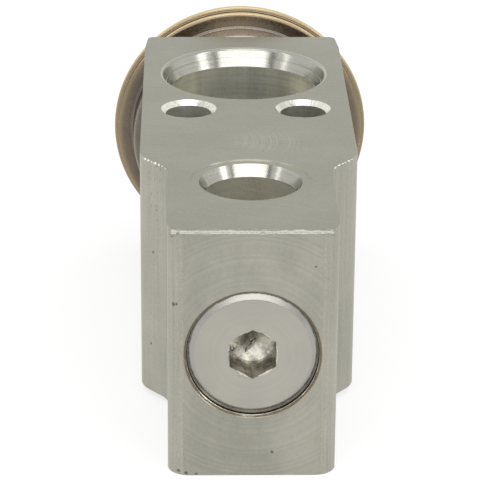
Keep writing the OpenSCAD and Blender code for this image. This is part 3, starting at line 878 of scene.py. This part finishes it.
class Maker:
    """Makes bmeshes, and turns finished ones into pieces of the valve."""

    @staticmethod
    def rod(length: float, radius: float, sections: int, sides: int) -> bmesh.types.BMesh:
        """A straight round bar along X, cut into sections, from nought to its length.

        Args:
            length: Its length.
            radius: Its radius.
            sections: How many sections it is cut into.
            sides: How many sides its outline has.

        Returns:
            The bar.
        """
        bm = bmesh.new()
        bmesh.ops.create_cone(bm, cap_ends=True, segments=sides, radius1=radius, radius2=radius,
                              depth=length)
        long_edges = [edge for edge in bm.edges
                      if abs(edge.verts[0].co.z - edge.verts[1].co.z) > length / 2]
        bmesh.ops.subdivide_edges(bm, edges=long_edges, cuts=sections - 1)
        lay = Matrix.Translation((length / 2, 0.0, 0.0)) @ Matrix.Rotation(math.pi / 2, 4, "Y")
        bmesh.ops.transform(bm, matrix=lay, verts=bm.verts)
        return bm

    @staticmethod
    def ring(radius: float, section: float, steps: int, sides: int) -> bmesh.types.BMesh:
        """A ring about the Z axis.

        Args:
            radius: The radius of its middle line.
            section: The radius of its round section.
            steps: How many steps go round it.
            sides: How many sides its section has.

        Returns:
            The ring.
        """
        bm = bmesh.new()
        bmesh.ops.create_circle(bm, cap_ends=False, segments=sides, radius=section)
        stand = Matrix.Translation((radius, 0.0, 0.0)) @ Matrix.Rotation(math.pi / 2, 4, "X")
        bmesh.ops.transform(bm, matrix=stand, verts=bm.verts)
        Maker.spin(bm, steps)
        return bm

    @staticmethod
    def spin(bm: bmesh.types.BMesh, steps: int) -> None:
        """Turns an outline once round the Z axis.

        Args:
            bm: The mesh that holds the outline.
            steps: How many steps it takes.
        """
        bmesh.ops.spin(bm, geom=bm.verts[:] + bm.edges[:], cent=(0.0, 0.0, 0.0),
                       axis=(0.0, 0.0, 1.0), angle=math.tau, steps=steps, use_merge=True)

    @staticmethod
    def move(bm: bmesh.types.BMesh, shift: Callable[[Vector], Vector]) -> None:
        """Moves every point of a mesh.

        Args:
            bm: The mesh.
            shift: Gives the new place of a point from its old one.
        """
        for vert in bm.verts:
            vert.co = shift(vert.co.copy())

    @staticmethod
    def stand_on_axis(bm: bmesh.types.BMesh, along: float) -> None:
        """Stands a mesh made about Z on the valve axis, with its Z towards the power head.

        Args:
            bm: The mesh.
            along: Its place along Y.
        """
        turn = Matrix.Rotation(-math.pi / 2, 4, "X")
        stand = Matrix.Translation((0.0, along, PLACE.height)) @ turn
        bmesh.ops.transform(bm, matrix=stand, verts=bm.verts)

    @staticmethod
    def finish(bm: bmesh.types.BMesh, name: str, material: bpy.types.Material, body: Body,
               slot: Slot, smooth: bool = True) -> None:
        """Makes a mesh a piece that rides on a body.

        Args:
            bm: The mesh, in millimetres and in its place.
            name: The piece's name.
            material: Its finish.
            body: The body that it moves with.
            slot: The record's slot that its finish belongs to; not used.
            smooth: Whether its faces are shaded smooth.
        """
        bmesh.ops.remove_doubles(bm, verts=bm.verts, dist=MERGED_UNDER)
        bmesh.ops.recalc_face_normals(bm, faces=bm.faces)
        bmesh.ops.scale(bm, vec=(MM, MM, MM), verts=bm.verts)
        for face in bm.faces:
            face.smooth = smooth
        piece = Maker.thing(bm, name, material)
        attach(piece, body.value)
        LOG.info("%s: %d faces on %s", name, len(piece.data.polygons), body.value)

    @staticmethod
    def thing(bm: bmesh.types.BMesh, name: str, material: bpy.types.Material) -> bpy.types.Object:
        """Puts a mesh into the scene and frees it.

        Args:
            bm: The mesh, in metres and in its place.
            name: The object's name.
            material: Its material.

        Returns:
            The object.
        """
        mesh = bpy.data.meshes.new(name)
        bm.to_mesh(mesh)
        bm.free()
        mesh.materials.append(material)
        made = bpy.data.objects.new(name, mesh)
        bpy.context.scene.collection.objects.link(made)
        return made


@dataclass
class FrontEdgeBurr:
    """The ragged bright burr along the broken edge over the adjusting screw."""

    left: float = -10.75
    right: float = 10.2
    reach: float = 0.34
    thickness: float = 0.12
    setback: float = 0.27
    taper: float = 0.25
    least_end: float = 0.15
    least_swell: float = 0.3
    sections: int = 260
    sides: int = 12
    coarse: Ruffle = Ruffle(size=0.2, length=1.1, seed=3.0)
    fine: Ruffle = Ruffle(size=0.085, length=0.45, seed=9.0)
    coarse_width: float = 2.0
    fine_width: float = 1.6
    fine_height: float = 4.0
    wander: float = 0.35
    lumps: tuple[Lump, ...] = (
        Lump(-10.25, 0.62, swell=1.0),
        Lump(-9.55, 0.35, swell=-0.5, drop=0.1),
        Lump(-8.1, 0.7, swell=0.2),
        Lump(-2.4, 4.0, swell=0.3),
        Lump(1.15, 0.7, swell=-0.4, drop=0.12),
        Lump(5.4, 4.2, swell=0.35),
        Lump(8.7, 0.8, swell=0.25),
        Lump(9.95, 0.35, swell=0.9, drop=0.1),
    )

    def build(self, finishes: Finishes) -> None:
        """Makes the burr and rides it on the block.

        Args:
            finishes: The valve's finishes.
        """
        bm = Maker.rod(self.right - self.left, 1.0, self.sections, self.sides)
        Maker.move(bm, self.shape)
        Maker.finish(bm, "front_edge_burr", finishes.burr, Body.BLOCK, Slot.BLOCK)

    def shape(self, point: Vector) -> Vector:
        """Gives a point of the straight bar its place on the broken edge.

        Args:
            point: The point of the bar.

        Returns:
            Its place.
        """
        x = self.left + point.x
        across = Vector((0.0, -1.0, -1.0)).normalized()
        outward = Vector((0.0, -1.0, 1.0)).normalized()
        swell = 1.0 + sum(lump.swell * lump.share(x) for lump in self.lumps)
        drop = sum(lump.drop * lump.share(x) for lump in self.lumps)
        end = max(min(1.0, (x - self.left) / self.taper, (self.right - x) / self.taper),
                  self.least_end)
        lean = (1.0 + self.coarse.at(Vector((x, point.y, 0.0))) * self.coarse_width
                + self.fine.at(Vector((x, point.y, point.z))) * self.fine_width)
        rise = 1.0 + self.fine.at(Vector((x, 3.0, point.z))) * self.fine_height
        wide = self.reach * max(swell, self.least_swell) * end * lean
        tall = self.thickness * end * rise
        middle = Vector((x, PLACE.screw_end + self.setback, PLACE.block_top - self.setback))
        middle -= across * (drop + self.coarse.at(Vector((x, 5.0, 0.0))) * self.wander)
        placed = middle + across * (point.y * wide) + outward * (point.z * tall)
        placed.y = max(placed.y, PLACE.foremost)
        return placed


@dataclass
class SlopeBurrs:
    """Rows of short bright burrs along the top edges of the two slopes."""

    radius: float = 0.23
    hang: float = 0.16
    flatness: float = 0.7
    least: float = 0.05
    most: float = 1.2
    sections: int = 140
    sides: int = 8
    innermost: float = 11.12
    outermost: float = 14.4
    left: tuple[Lump, ...] = (
        Lump(14.15, 0.24, 0.8), Lump(13.65, 0.2, 1.0), Lump(13.2, 0.14, 0.6),
        Lump(12.75, 0.3, 1.0), Lump(12.2, 0.2, 0.9), Lump(11.8, 0.14, 0.6),
        Lump(11.35, 0.2, 0.5),
    )
    right: tuple[Lump, ...] = (
        Lump(13.95, 0.16, 0.4), Lump(13.5, 0.26, 0.65), Lump(13.0, 0.2, 0.55),
        Lump(12.6, 0.14, 0.5), Lump(12.1, 0.3, 0.7), Lump(11.5, 0.28, 0.75),
    )

    def build(self, finishes: Finishes) -> None:
        """Makes both rows and rides them on the block.

        Args:
            finishes: The valve's finishes.
        """
        self.row("left_slope_burr", -1.0, self.left, finishes)
        self.row("right_slope_burr", 1.0, self.right, finishes)

    def row(self, name: str, side: float, lumps: tuple[Lump, ...], finishes: Finishes) -> None:
        """Makes one row.

        Args:
            name: The piece's name.
            side: -1 for the left slope and 1 for the right one.
            lumps: The row's burrs, by their distance from the middle plane.
            finishes: The valve's finishes.
        """
        fine = Ruffle(size=0.3, length=0.2, seed=5.0 + side)

        def shape(point: Vector) -> Vector:
            """Gives a point of the straight bar its place on the slope's edge.

            Args:
                point: The point of the bar.

            Returns:
                Its place.
            """
            out = self.innermost + point.x
            share = sum(lump.swell * lump.share(out) for lump in lumps) + fine.at(point)
            thick = self.radius * min(max(share, self.least), self.most)
            away = point.y * thick * self.flatness
            return Vector((side * (out + away), self.edge(out) - away,
                           PLACE.block_top - self.hang + point.z * thick))

        bm = Maker.rod(self.outermost - self.innermost, 1.0, self.sections, self.sides)
        Maker.move(bm, shape)
        Maker.finish(bm, name, finishes.chatter, Body.BLOCK, Slot.BLOCK)

    @staticmethod
    def edge(out: float) -> float:
        """Where the slope's top edge lies along Y: an arc, a straight and an arc.

        Args:
            out: The distance from the middle plane.

        Returns:
            The place along Y.
        """
        slope = Vector((PLACE.wide_half - PLACE.nose_half,
                        PLACE.slope_crest - PLACE.slope_foot)).normalized()
        half_turn = math.tan(math.acos(slope.y) / 2)
        crest_x = PLACE.wide_half - PLACE.crest_radius * (1.0 - slope.y)
        foot_x = PLACE.nose_half + PLACE.foot_radius * (1.0 - slope.y)
        if out > crest_x:
            away = out - (PLACE.wide_half - PLACE.crest_radius)
            middle = PLACE.slope_crest + PLACE.crest_radius * half_turn
            return middle - math.sqrt(PLACE.crest_radius ** 2 - away ** 2)
        if out < foot_x:
            away = PLACE.nose_half + PLACE.foot_radius - out
            middle = PLACE.slope_foot - PLACE.foot_radius * half_turn
            return middle + math.sqrt(PLACE.foot_radius ** 2 - away ** 2)
        return PLACE.slope_foot + (out - PLACE.nose_half) * slope.y / slope.x


@dataclass
class ScrewStaking:
    """The upset, stained edge round the adjusting screw, where the block was staked."""

    radius: float = 8.8
    section: float = 0.15
    least: float = 8.63
    setback: float = 0.07
    steps: int = 240
    sides: int = 12
    lumps: Ruffle = Ruffle(size=0.09, length=1.1, seed=2.0)
    fine: Ruffle = Ruffle(size=0.05, length=0.35, seed=7.0)

    def build(self, finishes: Finishes) -> None:
        """Makes the staked edge and rides it on the block.

        Args:
            finishes: The valve's finishes.
        """
        bm = Maker.ring(self.radius, self.section, self.steps, self.sides)
        Maker.move(bm, self.shape)
        Maker.stand_on_axis(bm, PLACE.screw_end + self.section + self.setback)
        Maker.move(bm, lambda point: Vector((point.x, max(point.y, PLACE.foremost), point.z)))
        Maker.finish(bm, "screw_staking", finishes.stake, Body.BLOCK, Slot.BLOCK)

    def shape(self, point: Vector) -> Vector:
        """Gives a point of the plain ring its place on the uneven one.

        Args:
            point: The point of the plain ring.

        Returns:
            Its place.
        """
        flat = Vector((point.x, point.y, 0.0))
        outward = flat.normalized()
        rise = Vector((0.0, 0.0, self.fine.at(point * 1.3)))
        moved = point + outward * (self.lumps.at(flat) + self.fine.at(point)) + rise
        return moved + outward * max(self.least - moved.xy.length, 0.0)


@dataclass
class BoltMouthChatter:
    """The chattered countersinks at the mouths of both bolt holes, on both faces."""

    inner: float = 3.33
    outer: float = 4.02
    depth: float = 0.69
    edge: float = 0.12
    root: float = 0.2
    lift: float = 0.055
    mean_lift: float = 1.2
    tilt: float = 0.3
    facets: int = 17
    steps_a_facet: int = 3

    def build(self, finishes: Finishes) -> None:
        """Makes the four countersinks and rides them on the block.

        Args:
            finishes: The valve's finishes.
        """
        for face, up, low in (("top", 1.0, PLACE.block_top), ("under", -1.0, 0.0)):
            for side, name in ((-1.0, "left"), (1.0, "right")):
                bm = self.countersink(seed=side * 3.0 + up)
                place = Matrix.Translation((side * PLACE.bolt_x, 0.0, low))
                place @= Matrix.Scale(up, 4, (0.0, 0.0, 1.0))
                bmesh.ops.transform(bm, matrix=place, verts=bm.verts)
                Maker.finish(bm, f"bolt_mouth_{name}_{face}", finishes.chatter, Body.BLOCK,
                             Slot.BLOCK, smooth=False)

    def countersink(self, seed: float) -> bmesh.types.BMesh:
        """One ring of facets that lies on the countersink, with its top at nought.

        Args:
            seed: Makes each ring's facets its own.

        Returns:
            The closed ring.
        """
        bm = bmesh.new()
        made = bmesh.ops.create_circle(bm, cap_ends=False, segments=4, radius=1.0)
        corners = ((self.inner, -self.depth), (self.outer, 0.0), (self.outer, -self.edge),
                   (self.inner + self.root, -self.depth))
        for vert, (out, high) in zip(made["verts"], corners):
            vert.co = Vector((out, 0.0, high))
        Maker.spin(bm, self.facets * self.steps_a_facet)
        chatter = Ruffle(size=1.0, length=0.9, seed=seed)

        def lifted(point: Vector) -> Vector:
            """Lifts a point of the plain ring by its facet's own height.

            Args:
                point: The point of the plain ring.

            Returns:
                Its place.
            """
            facet = round(math.atan2(point.y, point.x) / math.tau * self.facets)
            own = chatter.at(Vector((facet * 1.7, point.z * 2.0, 0.5)))
            rise = self.lift * (self.mean_lift + own)
            inward = -Vector((point.x, point.y, 0.0)).normalized() + Vector((0.0, 0.0, self.tilt))
            return point + inward * rise

        Maker.move(bm, lifted)
        return bm


@dataclass(frozen=True)
class Chip:
    """One chip that the broach left standing in the hex socket."""

    name: str
    start: Place
    end: Place
    radius: float
    seed: float
    ragged: float = 0.9
    rag_length: float = 2.2
    thinnest: float = 0.25
    sections: int = 24
    sides: int = 8

    def build(self, finishes: Finishes) -> None:
        """Makes the chip and rides it on the screw.

        Args:
            finishes: The valve's finishes.
        """
        start, way = Vector(self.start), Vector(self.end) - Vector(self.start)
        length = way.length
        rough = Ruffle(self.radius * self.ragged, self.radius * self.rag_length, self.seed)

        def shape(point: Vector) -> Vector:
            """Thins the bar towards its ends and roughens it.

            Args:
                point: The point of the bar.

            Returns:
                Its place.
            """
            middle = math.sin(math.pi * min(max(point.x / length, 0.0), 1.0))
            thin = self.thinnest + (1.0 - self.thinnest) * middle
            return Vector((point.x, point.y * thin, point.z * thin)) + rough.push(point)

        bm = Maker.rod(length, self.radius, self.sections, self.sides)
        Maker.move(bm, shape)
        turn = Vector((1.0, 0.0, 0.0)).rotation_difference(way).to_matrix().to_4x4()
        bmesh.ops.transform(bm, matrix=Matrix.Translation(start) @ turn, verts=bm.verts)
        Maker.finish(bm, self.name, finishes.burr, Body.SCREW, Slot.SCREW)


@dataclass
class BroachBurrs:
    """The chips and the curled shaving that the broach left in the screw's hex socket."""

    curl_place: Place = (-0.05, -42.75, 17.35)
    curl_radius: float = 0.36
    curl_thickness: float = 0.085
    curl_turn: float = 4.6
    curl_start: float = 0.9
    curl_pitch: float = 0.12
    sections: int = 40
    sides: int = 8
    chips: tuple[Chip, ...] = (
        Chip("socket_chip_left", (-2.95, -46.35, 18.2), (-2.3, -45.6, 17.3),
             radius=0.2, seed=1.0),
        Chip("socket_chip_low", (-2.35, -46.62, 14.55), (-0.35, -46.62, 13.86),
             radius=0.13, seed=4.0),
        Chip("socket_chip_floor", (-0.9, -42.95, 15.9), (0.5, -42.2, 17.6),
             radius=0.2, seed=7.0),
    )

    def build(self, finishes: Finishes) -> None:
        """Makes the chips and the shaving and rides them on the screw.

        Args:
            finishes: The valve's finishes.
        """
        for chip in self.chips:
            chip.build(finishes)
        length = self.curl_radius * self.curl_turn
        bm = Maker.rod(length, self.curl_thickness, self.sections, self.sides)
        Maker.move(bm, self.shape)
        Maker.finish(bm, "socket_curl", finishes.burr, Body.SCREW, Slot.SCREW)

    def shape(self, point: Vector) -> Vector:
        """Gives a point of the straight bar its place on the curl.

        Args:
            point: The point of the bar.

        Returns:
            Its place.
        """
        rough = Ruffle(size=self.curl_thickness * 0.5, length=0.3, seed=3.0)
        turn = self.curl_start + point.x / self.curl_radius
        out = self.curl_radius + point.y
        curled = Vector((math.cos(turn) * out, point.z + self.curl_pitch * turn,
                         math.sin(turn) * out))
        return Vector(self.curl_place) + curled + rough.push(point)


@dataclass
class PowerHeadWelds:
    """The weld that closes the rim of the power head, and the one round its charge plug."""

    rim_radius: float = 19.47
    rim_section: float = 0.15
    rim_y: float = 40.55
    rim_ripples: int = 190
    plug_radius: float = 2.72
    plug_section: float = 0.2
    plug_y: float = 46.22
    plug_ripples: int = 34
    ripple: float = 0.1
    steps_a_ripple: int = 4
    sides: int = 10

    def build(self, finishes: Finishes) -> None:
        """Makes both welds and rides them on the block.

        Args:
            finishes: The valve's finishes.
        """
        for name, bm, along in (
            ("rim_weld", self.bead(self.rim_radius, self.rim_section, self.rim_ripples),
             self.rim_y),
            ("charge_plug_weld", self.bead(self.plug_radius, self.plug_section, self.plug_ripples),
             self.plug_y),
        ):
            Maker.stand_on_axis(bm, along)
            Maker.finish(bm, name, finishes.weld, Body.BLOCK, Slot.TINTED)

    def bead(self, radius: float, section: float, ripples: int) -> bmesh.types.BMesh:
        """Makes one rippled bead about the Z axis.

        Args:
            radius: The radius of its middle line.
            section: The radius of its section.
            ripples: How many ripples go round it.

        Returns:
            The bead.
        """
        uneven = Ruffle(size=section * 0.25, length=2.4, seed=6.0)

        def swollen(point: Vector) -> Vector:
            """Swells the bead's section where a ripple stands.

            Args:
                point: The point of the plain ring.

            Returns:
                Its place.
            """
            flat = Vector((point.x, point.y, 0.0))
            turn = math.atan2(point.y, point.x)
            away = point - flat.normalized() * radius
            swell = (1.0 + self.ripple * abs(math.sin(turn * ripples / 2))
                     + uneven.at(flat) / section)
            return flat.normalized() * radius + away * swell

        bm = Maker.ring(radius, section, ripples * self.steps_a_ripple, self.sides)
        Maker.move(bm, swollen)
        return bm


@dataclass(frozen=True)
class StudioStand:
    """A stand that turns what it holds towards the valve."""

    name: str
    azimuth: float
    elevation: float
    width: float
    height: float
    distance: float = 0.8

    def place(self, target: Vector) -> Matrix:
        """Where it stands, with its front turned to the target.

        Args:
            target: The point that it faces, in metres.

        Returns:
            Its place and turn.
        """
        turn, rise = math.radians(self.azimuth), math.radians(self.elevation)
        away = Vector((math.sin(turn) * math.cos(rise), -math.cos(turn) * math.cos(rise),
                       math.sin(rise)))
        facing = away.to_track_quat("Z", "Y").to_matrix().to_4x4()
        return Matrix.Translation(target + away * self.distance) @ facing


@dataclass(frozen=True)
class Softbox(StudioStand):
    """A flat lamp."""

    radiance: float = 1.0

    def build(self, target: Vector) -> None:
        """Makes the lamp.

        Args:
            target: The point that it faces, in metres.
        """
        lamp = bpy.data.lights.new(self.name, "AREA")
        lamp.shape = "RECTANGLE"
        lamp.size = self.width
        lamp.size_y = self.height
        lamp.energy = math.pi * self.width * self.height * self.radiance
        thing = bpy.data.objects.new(self.name, lamp)
        thing.matrix_world = self.place(target)
        bpy.context.scene.collection.objects.link(thing)


@dataclass(frozen=True)
class BlackCard(StudioStand):
    """A black card that shows as a dark band in polished metal."""

    black: Colour = (0.03, 0.03, 0.03)
    rough: float = 0.8

    def build(self, target: Vector) -> None:
        """Makes the card.

        Args:
            target: The point that it faces, in metres.
        """
        bm = bmesh.new()
        bmesh.ops.create_grid(bm, x_segments=1, y_segments=1, size=0.5)
        bmesh.ops.scale(bm, vec=(self.width, self.height, 1.0), verts=bm.verts)
        bmesh.ops.transform(bm, matrix=self.place(target), verts=bm.verts)
        card = PlainFinish(self.name + "_card", self.black, self.rough, metallic=0.0).build()
        thing = Maker.thing(bm, self.name, card)
        thing.visible_camera = False
        thing.visible_shadow = False


@dataclass
class Studio:
    """The white floor, the soft light and the camera."""

    floor_tilt: float = -1.853
    floor_size: float = 6.0
    floor_gap: float = 0.01
    floor_grey: Colour = (0.3, 0.3, 0.3)
    floor_glow: float = 0.72
    ambient: float = 0.92
    sensor: float = 36.0
    frame_px: float = 480.0
    focal_px: float = 2499.0
    clip_start: float = 0.01
    eye: Place = (-8.18, -338.7, 151.84)
    yaw: float = -0.022
    pitch: float = 0.386
    roll: float = 0.007
    lights: tuple[Softbox | BlackCard, ...] = (
        Softbox("key_softbox", 0.0, 33.0, 1.1, 0.27, radiance=1.9),
        Softbox("left_strip", -70.0, 30.0, 0.09, 0.4, radiance=1.7),
        Softbox("right_strip", 66.0, 30.0, 0.16, 0.45, radiance=2.6),
        Softbox("overhead", 0.0, 70.0, 0.6, 0.36, radiance=1.3),
        BlackCard("left_flag", -47.0, 22.0, 0.09, 0.5),
        BlackCard("right_flag", 44.0, 22.0, 0.07, 0.5),
    )

    def build(self) -> None:
        """Makes the floor, the world, the lamps with their cards, and the camera."""
        self.floor()
        self.world()
        for light in self.lights:
            light.build(Vector((0.0, 0.0, PLACE.height * MM)))
        self.camera()
        LOG.info("studio: floor, world, camera and %d lamps and cards", len(self.lights))

    def floor(self) -> None:
        """Makes the floor that the valve rests on, tilted as the valve's own frame is."""
        bm = bmesh.new()
        bmesh.ops.create_grid(bm, x_segments=1, y_segments=1, size=self.floor_size / 2)
        lowest = Vector((0.0, PLACE.screw_end, -self.floor_gap)) * MM
        turn = Matrix.Rotation(math.radians(self.floor_tilt), 4, "X")
        bmesh.ops.transform(bm, matrix=Matrix.Translation(lowest) @ turn, verts=bm.verts)
        thing = Maker.thing(bm, "floor", self.floor_material())

    def floor_material(self) -> bpy.types.Material:
        """Makes the floor's material: white to the camera and in reflections, with a shadow.

        Returns:
            The material.
        """
        g = Graph("floor_white")
        seen = g.node("ShaderNodeLightPath").outputs
        mirrored = g.math("ADD", seen["Is Glossy Ray"], seen["Is Transmission Ray"])
        white = g.math("ADD", seen["Is Camera Ray"], mirrored, clamp=True)
        paper = g.node("ShaderNodeBsdfDiffuse")
        paper.inputs["Color"].default_value = opaque(self.floor_grey)
        glow = g.node("ShaderNodeEmission")
        g.feed(glow.inputs["Strength"], g.math("MULTIPLY", white, self.floor_glow))
        added = g.node("ShaderNodeAddShader")
        g.tree.links.new(paper.outputs[0], added.inputs[0])
        g.tree.links.new(glow.outputs[0], added.inputs[1])
        g.tree.links.new(added.outputs[0], g.output.inputs["Surface"])
        return g.material

    def world(self) -> None:
        """Makes the even pale light all round, white to the camera and in reflections."""
        world = bpy.data.worlds.new("studio")
        world.use_nodes = True
        tree = world.node_tree
        seen = tree.nodes.new("ShaderNodeLightPath").outputs
        mirrored = tree.nodes.new("ShaderNodeMath")
        shown = tree.nodes.new("ShaderNodeMath")
        tree.links.new(seen["Is Glossy Ray"], mirrored.inputs[0])
        tree.links.new(seen["Is Transmission Ray"], mirrored.inputs[1])
        tree.links.new(seen["Is Camera Ray"], shown.inputs[0])
        tree.links.new(mirrored.outputs[0], shown.inputs[1])
        strength = tree.nodes.new("ShaderNodeMapRange")
        strength.inputs["To Min"].default_value = self.ambient
        strength.inputs["To Max"].default_value = 1.0
        tree.links.new(shown.outputs[0], strength.inputs["Value"])
        tree.links.new(strength.outputs[0], tree.nodes["Background"].inputs["Strength"])
        tree.nodes["Background"].inputs["Color"].default_value = (1.0, 1.0, 1.0, 1.0)
        bpy.context.scene.world = world

    def camera(self) -> None:
        """Puts the camera where the photograph was taken from."""
        sight = bpy.data.cameras.new("camera")
        sight.sensor_width = self.sensor
        sight.sensor_fit = "HORIZONTAL"
        sight.lens = self.focal_px / self.frame_px * self.sensor
        sight.clip_start = self.clip_start
        forward = Vector((-math.sin(self.yaw) * math.cos(self.pitch),
                          math.cos(self.yaw) * math.cos(self.pitch), -math.sin(self.pitch)))
        level = Vector((math.cos(self.yaw), math.sin(self.yaw), 0.0))
        upright = level.cross(forward)
        right = level * math.cos(self.roll) + upright * math.sin(self.roll)
        up = upright * math.cos(self.roll) - level * math.sin(self.roll)
        turn = Matrix((right, up, -forward)).transposed().to_4x4()
        thing = bpy.data.objects.new("camera", sight)
        thing.matrix_world = Matrix.Translation(Vector(self.eye) * MM) @ turn
        bpy.context.scene.collection.objects.link(thing)
        bpy.context.scene.camera = thing


def main() -> None:
    """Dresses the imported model, adds what machining left on it and sets it in the studio."""
    logging.basicConfig(level=logging.INFO, format="%(name)s %(message)s")
    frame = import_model()
    bpy.context.scene.view_settings.view_transform = "Standard"
    noise.seed_set(NOISE_SEED)
    finishes = Finishes()
    finishes.dress_frame(frame["nodes"])
    for assembly in (FrontEdgeBurr(), SlopeBurrs(), ScrewStaking(), BoltMouthChatter(),
                     BroachBurrs(), PowerHeadWelds()):
        assembly.build(finishes)
    Studio().build()


if __name__ == "__main__":
    main()
